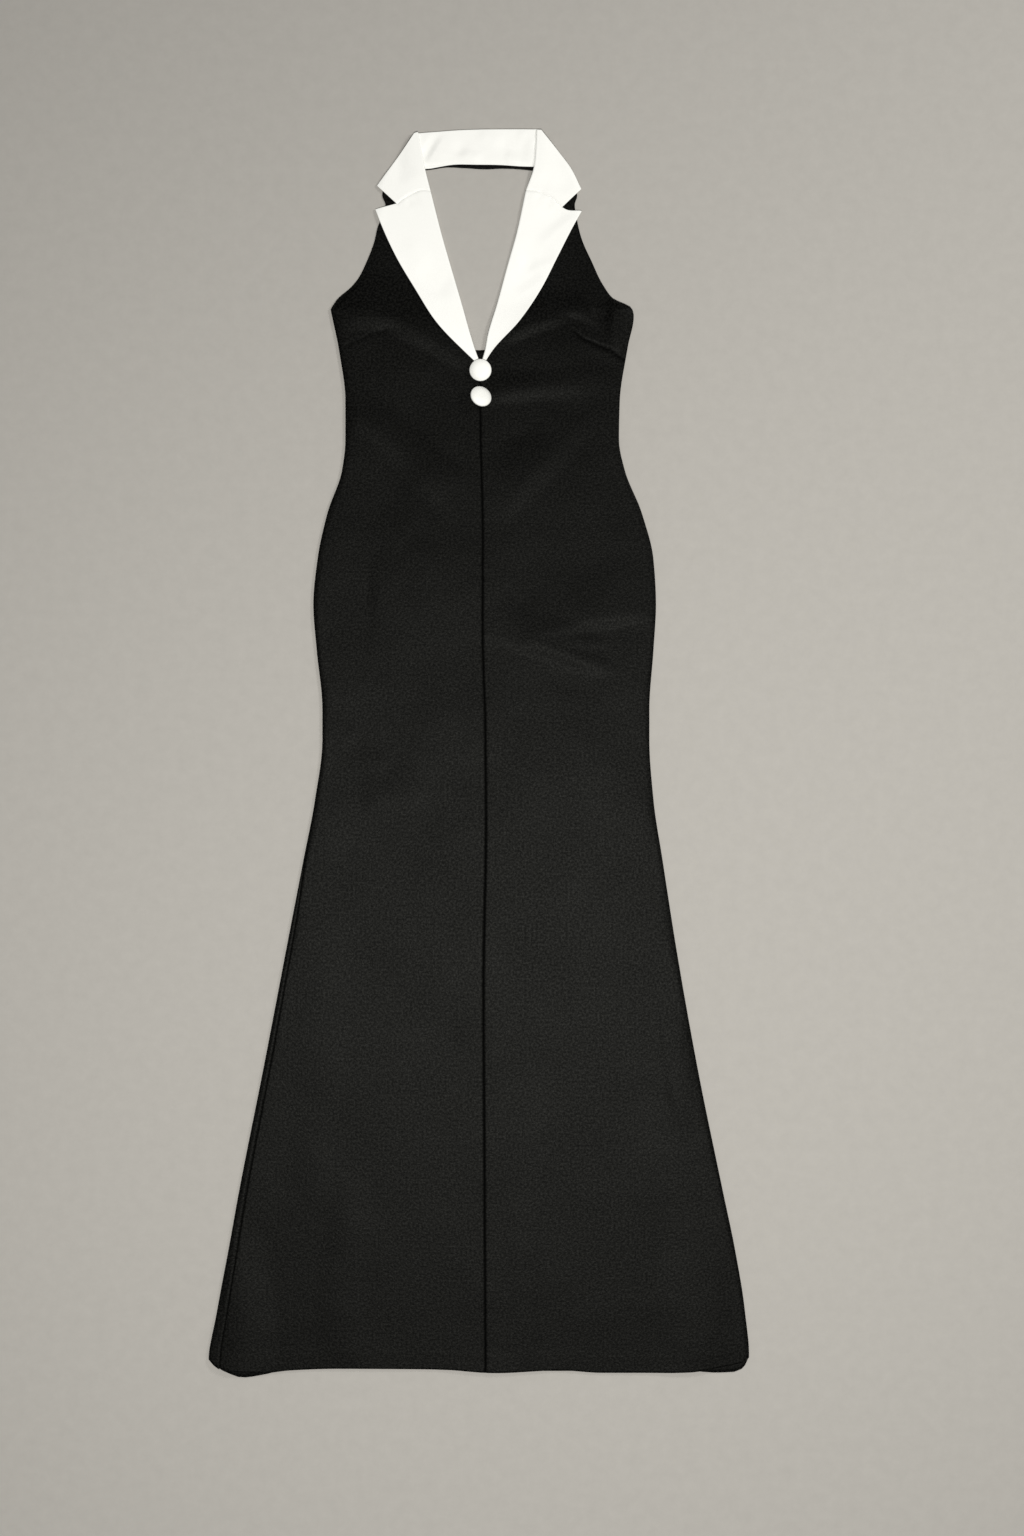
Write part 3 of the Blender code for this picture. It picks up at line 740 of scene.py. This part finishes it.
def cloth_piece(name, grid, wall, bulge, finish, turn=0.0, sewn_and_shaded=None):
    """A cloth piece from its grid. Its UV map is the cloth's own plane, turned by the angle of its grain.

    The last argument is one along the grid's stitched lines and nought elsewhere. There the finish paints shade, the
    dark of the seams' grooves.
    """
    points, faces, owner = shell(grid, wall, bulge)
    seam_shade = np.zeros(grid.shape[:2]) if sewn_and_shaded is None else sewn_and_shaded
    flat = grid.reshape(-1, 3)[owner, :2]
    cos, sin = math.cos(turn), math.sin(turn)
    uv = np.stack((flat[:, 0] * cos - flat[:, 1] * sin, flat[:, 0] * sin + flat[:, 1] * cos), axis=-1)
    return mesh_object(name, points, faces, uv, finish, seam_shade.reshape(-1)[owner])


def profile_surface(outline, sides, ripple):
    """A surface of revolution: the profile (radius, height) carried once round, closed at both its ends.

    `ripple` gives a factor on each ring's radius for each angle.
    """
    outline = np.array(outline, dtype=float)
    angle = np.linspace(0, 2 * math.pi, sides, endpoint=False)
    radius = outline[1:-1, :1] * ripple(outline[1:-1], angle[None])
    ring = np.stack((
        radius * np.cos(angle), radius * np.sin(angle), np.repeat(outline[1:-1, 1:], sides, axis=1),
    ), axis=-1)
    points = np.concatenate(([(0, 0, outline[0, 1])], ring.reshape(-1, 3), [(0, 0, outline[-1, 1])]))
    number = np.arange(ring.shape[0] * sides).reshape(-1, sides) + 1
    following = np.roll(number, -1, axis=1)
    quads = np.stack((number[:-1], following[:-1], following[1:], number[1:]), axis=-1).reshape(-1, 4)
    first = np.stack((np.zeros(sides, int), following[0], number[0]), axis=-1)
    last = np.stack((np.full(sides, len(points) - 1), number[-1], following[-1]), axis=-1)
    triangles = np.concatenate((first, last))
    return points, [tuple(face) for face in quads.tolist()] + [tuple(face) for face in triangles.tolist()]


def node(tree, kind, inputs=None, **settings):
    """A shader node with its settings and inputs. An input may be a value or another node's output."""
    made = tree.nodes.new(kind)
    for name, value in settings.items():
        setattr(made, name, value)
    for name, value in (inputs or {}).items():
        socket = made.inputs[name]
        if isinstance(value, bpy.types.NodeSocket):
            tree.links.new(value, socket)
        else:
            socket.default_value = value
    return made


def new_material(name):
    made = bpy.data.materials.new(name)
    made.use_nodes = True
    return made, made.node_tree, made.node_tree.nodes["Principled BSDF"]


def graded(tree, fac, low, high, dark, light):
    """A colour ramp between two colours."""
    ramp = node(tree, "ShaderNodeValToRGB", {"Fac": fac})
    ramp.color_ramp.elements[0].position = low
    ramp.color_ramp.elements[0].color = (*dark, 1)
    ramp.color_ramp.elements[1].position = high
    ramp.color_ramp.elements[1].color = (*light, 1)
    return ramp.outputs["Color"]


def scaled(colour, factor):
    return tuple(min(c * factor, 1.0) for c in colour)


def black_crepe():
    """Matte stretch crepe: fine pebbled grain over a fine knit, and a faint broad sheen."""
    looks = bpy.context.scene.dress_looks
    finish, tree, shader = new_material("black_crepe")
    place = node(tree, "ShaderNodeUVMap", uv_map="cloth").outputs["UV"]
    painted_shade = node(tree, "ShaderNodeAttribute", attribute_name="sewn_and_shaded", attribute_type="GEOMETRY").outputs["Fac"]
    grain = node(tree, "ShaderNodeTexNoise", {
        "Vector": place, "Scale": looks.grain_scale, "Detail": 3.0, "Roughness": 0.6,
    })
    pebble = node(tree, "ShaderNodeTexNoise", {
        "Vector": place, "Scale": looks.grain_scale * 0.55, "Detail": 2.0, "Roughness": 0.6,
        "Distortion": 0.5,
    })
    speckle = node(tree, "ShaderNodeTexNoise", {
        "Vector": place, "Scale": looks.grain_scale * 0.4, "Detail": 3.0, "Roughness": 0.75,
    })
    rib = node(tree, "ShaderNodeTexWave", {
        "Vector": place, "Scale": looks.grain_scale * 0.28, "Distortion": 2.0, "Detail": 2.0,
        "Detail Scale": 2.0,
    }, wave_type="BANDS", bands_direction="X")
    patches = node(tree, "ShaderNodeTexNoise", {"Vector": place, "Scale": 11.0, "Detail": 4.0, "Roughness": 0.6})
    base = graded(
        tree, speckle.outputs["Fac"], 0.44, 0.60, scaled(looks.black, 0.05), scaled(looks.black, 3.0),
    )
    worn = graded(tree, patches.outputs["Fac"], 0.35, 0.75, (0.88, 0.88, 0.88), (1.14, 1.14, 1.14))
    colour = node(tree, "ShaderNodeMix", {"Factor": 1.0}, data_type="RGBA", blend_type="MULTIPLY")
    tree.links.new(base, colour.inputs[6])
    tree.links.new(worn, colour.inputs[7])
    # Painted shade: along the seams and darts the colour goes to near black, standing in for the shade in their
    # grooves; the roughness rises there too
    seam_shaded = node(tree, "ShaderNodeMix", {"Factor": painted_shade}, data_type="RGBA")
    tree.links.new(colour.outputs[2], seam_shaded.inputs[6])
    seam_shaded.inputs[7].default_value = (*scaled(looks.black, 0.1), 1)
    tree.links.new(seam_shaded.outputs[2], shader.inputs["Base Color"])
    broad = node(tree, "ShaderNodeMapRange", {
        "Value": patches.outputs["Fac"], "To Min": 0.61, "To Max": 0.74,
    })
    rough = node(tree, "ShaderNodeMath", {
        0: speckle.outputs["Fac"], 1: -0.42, 2: broad.outputs["Result"],
    }, operation="MULTIPLY_ADD")
    dulled = node(tree, "ShaderNodeMapRange", {
        "Value": painted_shade, "To Min": rough.outputs["Value"], "To Max": 1.0,
    })
    tree.links.new(dulled.outputs["Result"], shader.inputs["Roughness"])
    first = node(tree, "ShaderNodeBump", {
        "Strength": 0.3, "Distance": 0.00008, "Height": rib.outputs["Fac"],
    })
    second = node(tree, "ShaderNodeBump", {
        "Strength": 0.5, "Distance": 0.00016, "Height": grain.outputs["Fac"],
        "Normal": first.outputs["Normal"],
    })
    third = node(tree, "ShaderNodeBump", {
        "Strength": 0.6, "Distance": 0.0005, "Height": pebble.outputs["Fac"],
        "Normal": second.outputs["Normal"],
    })
    tree.links.new(third.outputs["Normal"], shader.inputs["Normal"])
    shader.inputs["Specular IOR Level"].default_value = 0.05
    shader.inputs["Specular Tint"].default_value = (0.985, 1.0, 0.93, 1)
    shader.inputs["Sheen Weight"].default_value = looks.sheen
    shader.inputs["Sheen Roughness"].default_value = 0.45
    shader.inputs["Sheen Tint"].default_value = (0.8, 0.8, 0.78, 1)
    return finish


def white_crepe():
    """Warm white crepe with a fine plain weave under a soft grain."""
    looks = bpy.context.scene.dress_looks
    finish, tree, shader = new_material("white_crepe")
    place = node(tree, "ShaderNodeUVMap", uv_map="cloth").outputs["UV"]
    grain = node(tree, "ShaderNodeTexNoise", {
        "Vector": place, "Scale": looks.grain_scale, "Detail": 3.0, "Roughness": 0.55,
    })
    warp = node(tree, "ShaderNodeTexWave", {
        "Vector": place, "Scale": looks.grain_scale * 0.34, "Distortion": 1.2, "Detail": 1.0,
    }, wave_type="BANDS", bands_direction="X")
    weft = node(tree, "ShaderNodeTexWave", {
        "Vector": place, "Scale": looks.grain_scale * 0.34, "Distortion": 1.2, "Detail": 1.0,
    }, wave_type="BANDS", bands_direction="Y")
    weave = node(tree, "ShaderNodeMath", {0: warp.outputs["Fac"], 1: weft.outputs["Fac"]}, operation="MAXIMUM")
    colour = graded(
        tree, grain.outputs["Fac"], 0.3, 0.7, scaled(looks.white, 0.965), scaled(looks.white, 1.02),
    )
    tree.links.new(colour, shader.inputs["Base Color"])
    first = node(tree, "ShaderNodeBump", {"Strength": 0.25, "Distance": 0.0003, "Height": weave.outputs["Value"]})
    second = node(tree, "ShaderNodeBump", {
        "Strength": 0.3, "Distance": 0.0004, "Height": grain.outputs["Fac"],
        "Normal": first.outputs["Normal"],
    })
    tree.links.new(second.outputs["Normal"], shader.inputs["Normal"])
    shader.inputs["Roughness"].default_value = 0.8
    shader.inputs["Specular IOR Level"].default_value = 0.25
    shader.inputs["Sheen Weight"].default_value = 0.12
    shader.inputs["Sheen Roughness"].default_value = 0.5
    return finish


def button_cloth():
    """Smooth cloth drawn tight over the button: a very fine plain weave with a soft gloss."""
    looks = bpy.context.scene.dress_looks
    finish, tree, shader = new_material("button_cloth")
    place = node(tree, "ShaderNodeUVMap", uv_map="cloth").outputs["UV"]
    weave = [
        node(tree, "ShaderNodeTexWave", {
            "Vector": place, "Scale": 560.0, "Distortion": 0.8, "Detail": 1.0,
        }, wave_type="BANDS", bands_direction=way).outputs["Fac"]
        for way in "XY"
    ]
    both = node(tree, "ShaderNodeMath", {0: weave[0], 1: weave[1]}, operation="MAXIMUM")
    colour = graded(
        tree, both.outputs["Value"], 0.2, 0.9, scaled(looks.button, 0.97), scaled(looks.button, 1.01),
    )
    tree.links.new(colour, shader.inputs["Base Color"])
    raised = node(tree, "ShaderNodeBump", {"Strength": 0.2, "Distance": 0.0002, "Height": both.outputs["Value"]})
    tree.links.new(raised.outputs["Normal"], shader.inputs["Normal"])
    shader.inputs["Roughness"].default_value = 0.55
    shader.inputs["Specular IOR Level"].default_value = 0.35
    shader.inputs["Sheen Weight"].default_value = 0.08
    return finish


def thread():
    """White sewing thread, twisted: fine slanting bands along it."""
    looks = bpy.context.scene.dress_looks
    finish, tree, shader = new_material("white_thread")
    place = node(tree, "ShaderNodeUVMap", uv_map="cloth").outputs["UV"]
    twist = node(tree, "ShaderNodeTexWave", {
        "Vector": place, "Scale": 800.0, "Distortion": 0.5,
    }, wave_type="BANDS", bands_direction="DIAGONAL")
    colour = graded(
        tree, twist.outputs["Fac"], 0.1, 0.9, scaled(looks.button, 0.8), scaled(looks.button, 0.96),
    )
    tree.links.new(colour, shader.inputs["Base Color"])
    raised = node(tree, "ShaderNodeBump", {"Strength": 0.4, "Distance": 0.0002, "Height": twist.outputs["Fac"]})
    tree.links.new(raised.outputs["Normal"], shader.inputs["Normal"])
    shader.inputs["Roughness"].default_value = 0.7
    return finish


def floor_finish():
    """A plain pale floor with the faintest mottling."""
    looks = bpy.context.scene.dress_looks
    finish, tree, shader = new_material("pale_floor")
    place = node(tree, "ShaderNodeTexCoord").outputs["Object"]
    cloud = node(tree, "ShaderNodeTexNoise", {"Vector": place, "Scale": 60.0, "Detail": 5.0, "Roughness": 0.7})
    colour = graded(
        tree, cloud.outputs["Fac"], 0.3, 0.7, scaled(looks.floor, 0.97), scaled(looks.floor, 1.03),
    )
    tree.links.new(colour, shader.inputs["Base Color"])
    shader.inputs["Roughness"].default_value = 0.9
    shader.inputs["Specular IOR Level"].default_value = 0.2
    return finish


def finish_of(maker):
    """The material of that maker, made once."""
    name = {black_crepe: "black_crepe", white_crepe: "white_crepe"}.get(maker)
    known = bpy.data.materials.get(name) if name else None
    return known or maker()


class DressSizes(bpy.types.PropertyGroup):
    """Sizes of the cloth and its details."""

    cloth_wall: bpy.props.FloatProperty(
        name="Cloth thickness", description="Thickness of the black cloth",
        default=0.0009, min=0.0004, max=0.0015, subtype="DISTANCE", unit="LENGTH",
    )
    facing_wall: bpy.props.FloatProperty(
        name="Facing thickness", description="Thickness of the collar, lapels and neck band",
        default=0.0015, min=0.0008, max=0.0018, subtype="DISTANCE", unit="LENGTH",
    )
    hem_depth: bpy.props.FloatProperty(
        name="Hem depth", description="Height of the turned-up hem",
        default=0.018, min=0.005, max=0.05, subtype="DISTANCE", unit="LENGTH",
    )
    crease_depth: bpy.props.FloatProperty(
        name="Crease depth", description="Strength of the finer creases", default=1.0, min=0.0, max=1.5,
    )
    button_width: bpy.props.FloatProperty(
        name="Button width", description="Width of a covered button",
        default=0.0267, min=0.02, max=0.027, subtype="DISTANCE", unit="LENGTH",
    )


class DressLooks(bpy.types.PropertyGroup):
    """Colours and grain of the finishes."""

    black: bpy.props.FloatVectorProperty(
        name="Black", description="Colour of the dress", subtype="COLOR", size=3,
        default=(0.0022, 0.0022, 0.0020), min=0, max=1,
    )
    white: bpy.props.FloatVectorProperty(
        name="White", description="Colour of the collar, lapels and neck band", subtype="COLOR", size=3,
        default=(0.88, 0.883, 0.848), min=0, max=1,
    )
    button: bpy.props.FloatVectorProperty(
        name="Button", description="Colour of the covered buttons", subtype="COLOR", size=3,
        default=(0.866, 0.869, 0.83), min=0, max=1,
    )
    floor: bpy.props.FloatVectorProperty(
        name="Floor", description="Colour of the floor", subtype="COLOR", size=3,
        default=(0.385, 0.371, 0.343), min=0, max=1,
    )
    grain_scale: bpy.props.FloatProperty(
        name="Grain", description="Grains of the crepe in a metre of cloth", default=900.0, min=100, max=4000,
    )
    sheen: bpy.props.FloatProperty(
        name="Sheen", description="Strength of the black cloth's sheen", default=0.01, min=0, max=1,
    )


def seat(made, node_name):
    """Each piece rides on the one body and stands for its solid."""
    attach(made, BODY)
    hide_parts(node_name)


def metres(attribute):
    """A size property in millimetres."""
    return getattr(bpy.context.scene.dress_sizes, attribute) / MM


def hem_wall(grid, hem):
    """The cloth's thickness, with the second layer of the turned-up hem. Its upper edge shows as a step."""
    lowest = smooth(grid[..., 0], hem["x"], hem["height"])
    above = grid[..., 1] - lowest
    return metres("cloth_wall") * (1 + 0.3 * (1 - ease((above - metres("hem_depth")) / 9)))


class DRESS_OT_fronts(bpy.types.Operator):
    """Make the two fronts with their folds, darts and centre seam."""

    bl_idname = "dress.fronts"
    bl_label = "Fronts"

    def execute(self, context):
        for side, word, area in ((-1, "left", 0.310), (1, "right", 0.3135)):
            grid, seam_shade = front_grid(side)
            made = cloth_piece(
                f"front_{word}_cloth", grid, hem_wall(grid, FRONT_HEM), 0.12, finish_of(black_crepe), sewn_and_shaded=seam_shade,
            )
            seat(made, f"front_{word}")
        return {"FINISHED"}


class DRESS_OT_back(bpy.types.Operator):
    """Make the back, which turns up at both sides onto the front."""

    bl_idname = "dress.back"
    bl_label = "Back"

    def execute(self, context):
        grid = back_grid()
        made = cloth_piece("back_cloth", grid, hem_wall(grid, BACK_HEM), 0.12, finish_of(black_crepe))
        seat(made, "back")
        return {"FINISHED"}


class DRESS_OT_lapels(bpy.types.Operator):
    """Make the two lapels, turned out over the fronts."""

    bl_idname = "dress.lapels"
    bl_label = "Lapels"

    def execute(self, context):
        for side, word, area in ((-1, "left", 0.0098), (1, "right", 0.0091)):
            made = cloth_piece(
                f"lapel_{word}_cloth", lapel_grid(side), metres("facing_wall"), 0.45,
                finish_of(white_crepe), math.radians(-28 * side),
            )
            seat(made, f"lapel_{word}")
        return {"FINISHED"}


class DRESS_OT_collar(bpy.types.Operator):
    """Make the two leaves of the collar."""

    bl_idname = "dress.collar"
    bl_label = "Collar"

    def execute(self, context):
        for side, word, area in ((-1, "left", 0.0029), (1, "right", 0.0033)):
            made = cloth_piece(
                f"collar_{word}_cloth", collar_grid(side), metres("facing_wall"), 0.45,
                finish_of(white_crepe), math.radians(20 * side),
            )
            seat(made, f"collar_{word}")
        return {"FINISHED"}


class DRESS_OT_neck_bands(bpy.types.Operator):
    """Make the white band across the nape and the black band under it."""

    bl_idname = "dress.neck_bands"
    bl_label = "Neck bands"

    def execute(self, context):
        grid = band_grid(NECK_BAND, CLOTH + GAP + FACING / 2, BAND_FOLDS, 150, 44)
        made = cloth_piece("neck_band_cloth", grid, metres("facing_wall"), 0.45, finish_of(white_crepe))
        seat(made, "neck_band")
        grid = band_grid(UNDER_BAND, CLOTH / 2, None, 120, 24)
        made = cloth_piece("under_band_cloth", grid, metres("cloth_wall"), 0.3, finish_of(black_crepe))
        seat(made, "under_band")
        return {"FINISHED"}


def button_outline(shank, radius):
    """Half section of a covered button: back plate, cloth turned under, round rim and low dome."""
    top = shank + BUTTON_THICKNESS
    rim = 2.3
    outline = [(0, shank + 0.25), (3.0, shank + 0.25), (6.0, shank + 0.25), (6.4, shank + 0.1)]
    outline += [(radius - rim - 3.4, shank - 0.0), (radius - rim - 1.6, shank)]
    for angle in np.radians(np.arange(-90, 66, 9)):
        outline.append((radius - rim + rim * math.cos(angle), shank + rim * (1 + math.sin(angle))))
    edge, edge_height = outline[-1]
    for share in np.linspace(0.95, 0, 16):
        outline.append((edge * share, top - (top - edge_height) * share**3.4))
    return outline


def place_button(points, middle, shank, tilt, lift):
    """Points of an upright button turned and moved so that its middle shows over the given spot."""
    turn = Quaternion(Vector((-math.sin(LOWER_LEAN), math.cos(LOWER_LEAN), 0)), tilt)
    lean = turn @ Vector((0, 0, shank + BUTTON_THICKNESS / 2))
    rotated = points @ np.array(turn.to_matrix()).T
    return rotated + (middle[0] - lean.x, middle[1] - lean.y, 2 * CLOTH + 2 * GAP + lift)


def gathers(ring, angle):
    """Factor on a button's radius: none on the dome, and small uneven gathers where the cloth turns under."""
    under = np.clip((ring[0, 1] + 1.6 - ring[:, 1]) / 1.6, 0, 1)[:, None]
    wave = np.sin(23 * angle + 0.8 * np.sin(5 * angle)) * 0.012 + np.sin(11 * angle + 1) * 0.005
    return 1 + under * wave


def wound_thread(ring, angle):
    """Factor on the shank's radius for each turn of the wound thread."""
    return 1 + 0.1 * np.abs(np.sin(ring[:, 1:2] * math.pi / 0.55 + angle / 2))


def faces_mesh(name, points, faces, uv, finish):
    """A smooth object from mixed faces, in the same units as mesh_object."""
    mesh = bpy.data.meshes.new(name)
    mesh.from_pydata(((points - (0, LENGTH / 2, 0)) * MM).tolist(), [], faces)
    layer = mesh.uv_layers.new(name="cloth")
    corner = np.empty(len(mesh.loops), dtype=np.int32)
    mesh.loops.foreach_get("vertex_index", corner)
    layer.data.foreach_set("uv", (uv[corner] * MM).astype(np.float32).ravel())
    mesh.shade_smooth()
    mesh.materials.append(finish)
    made = bpy.data.objects.new(name, mesh)
    bpy.context.scene.collection.objects.link(made)
    return made


class DRESS_OT_buttons(bpy.types.Operator):
    """Make the two covered buttons and their thread shanks."""

    bl_idname = "dress.buttons"
    bl_label = "Buttons"

    def execute(self, context):
        radius = metres("button_width") / 2
        cloth, cord = button_cloth(), thread()
        for word, middle, shank, tilt, lift in (
            ("upper", UPPER_BUTTON, UPPER_SHANK, 0.0, 0.0),
            ("lower", LOWER_BUTTON, LOWER_SHANK, LOWER_TILT, LOWER_LIFT),
        ):
            points, faces = profile_surface(button_outline(shank, radius), 120, gathers)
            placed = place_button(points, middle, shank, tilt, lift)
            made = faces_mesh(f"button_{word}_cover", placed, faces, points[:, :2], cloth)
            seat(made, f"button_{word}")
            outline = [(0, 0), (2.4, 0.05)]
            outline += [(1.9, h) for h in np.arange(0.3, shank + 0.2, 0.09)] + [(0, shank + 0.3)]
            points, faces = profile_surface(outline, 40, wound_thread)
            placed = place_button(points, middle, shank, tilt, lift)
            made = faces_mesh(f"button_{word}_shank", placed, faces, points[:, [0, 2]], cord)
            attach(made, BODY)
        return {"FINISHED"}


def area_light(name, place, target, size, power, colour):
    light = bpy.data.lights.new(name, "AREA")
    light.shape = "DISK"
    light.size = size
    light.energy = power
    light.color = colour
    made = bpy.data.objects.new(name, light)
    made.location = place
    made.rotation_euler = (Vector(target) - Vector(place)).to_track_quat("-Z", "Y").to_euler()
    bpy.context.scene.collection.objects.link(made)


# The camera stands over the middle of the picture and takes in this height of the floor, in metres
VIEW_MIDDLE = (0.0407, -0.0174)
VIEW_HEIGHT = 1.8685
CAMERA_HEIGHT = 3.4


class DRESS_OT_stage(bpy.types.Operator):
    """Make the floor, the soft light and the camera straight above."""

    bl_idname = "dress.stage"
    bl_label = "Stage"

    def execute(self, context):
        scene = context.scene
        half = 6.0
        mesh = bpy.data.meshes.new("floor")
        corners = [(-half, -half, 0), (half, -half, 0), (half, half, 0), (-half, half, 0)]
        mesh.from_pydata(corners, [], [(0, 1, 2, 3)])
        mesh.materials.append(floor_finish())
        floor = bpy.data.objects.new("floor", mesh)
        scene.collection.objects.link(floor)
        world = bpy.data.worlds.new("studio")
        world.use_nodes = True
        world.node_tree.nodes["Background"].inputs["Color"].default_value = (1.0, 0.99, 0.97, 1)
        world.node_tree.nodes["Background"].inputs["Strength"].default_value = 0.2
        scene.world = world
        area_light("overhead", (0.10, -0.42, 2.5), (0.10, -0.42, 0), 0.45, 60, (1.0, 0.985, 0.96))
        area_light("side", (1.9, 1.3, 1.7), (0, 0.2, 0), 0.6, 26, (1.0, 0.99, 0.97))
        camera = bpy.data.cameras.new("camera")
        camera.sensor_fit = "VERTICAL"
        camera.sensor_height = 36.0
        camera.lens = camera.sensor_height * CAMERA_HEIGHT / VIEW_HEIGHT
        viewer = bpy.data.objects.new("camera", camera)
        viewer.location = (*VIEW_MIDDLE, CAMERA_HEIGHT)
        scene.collection.objects.link(viewer)
        scene.camera = viewer
        scene.view_settings.view_transform = "Standard"
        return {"FINISHED"}


class DRESS_PT_panel(bpy.types.Panel):
    bl_label = "Halter dress"
    bl_space_type = "VIEW_3D"
    bl_region_type = "UI"
    bl_category = "Dress"

    def draw(self, context):
        layout = self.layout
        for group in (context.scene.dress_sizes, context.scene.dress_looks):
            column = layout.column()
            for name in group.__annotations__:
                column.prop(group, name)
        for operator in OPERATORS:
            layout.operator(operator.bl_idname)


OPERATORS = (
    DRESS_OT_stage, DRESS_OT_back, DRESS_OT_fronts, DRESS_OT_lapels, DRESS_OT_collar, DRESS_OT_neck_bands,
    DRESS_OT_buttons,
)
CLASSES = (DressSizes, DressLooks, *OPERATORS, DRESS_PT_panel)


def register():
    for each in CLASSES:
        bpy.utils.register_class(each)
    bpy.types.Scene.dress_sizes = bpy.props.PointerProperty(type=DressSizes)
    bpy.types.Scene.dress_looks = bpy.props.PointerProperty(type=DressLooks)


def unregister():
    del bpy.types.Scene.dress_looks
    del bpy.types.Scene.dress_sizes
    for each in reversed(CLASSES):
        bpy.utils.unregister_class(each)


def main():
    register()
    bpy.ops.dress.stage()
    bpy.ops.dress.back()
    bpy.ops.dress.fronts()
    bpy.ops.dress.lapels()
    bpy.ops.dress.collar()
    bpy.ops.dress.neck_bands()
    bpy.ops.dress.buttons()


if __name__ == "__main__":
    main()
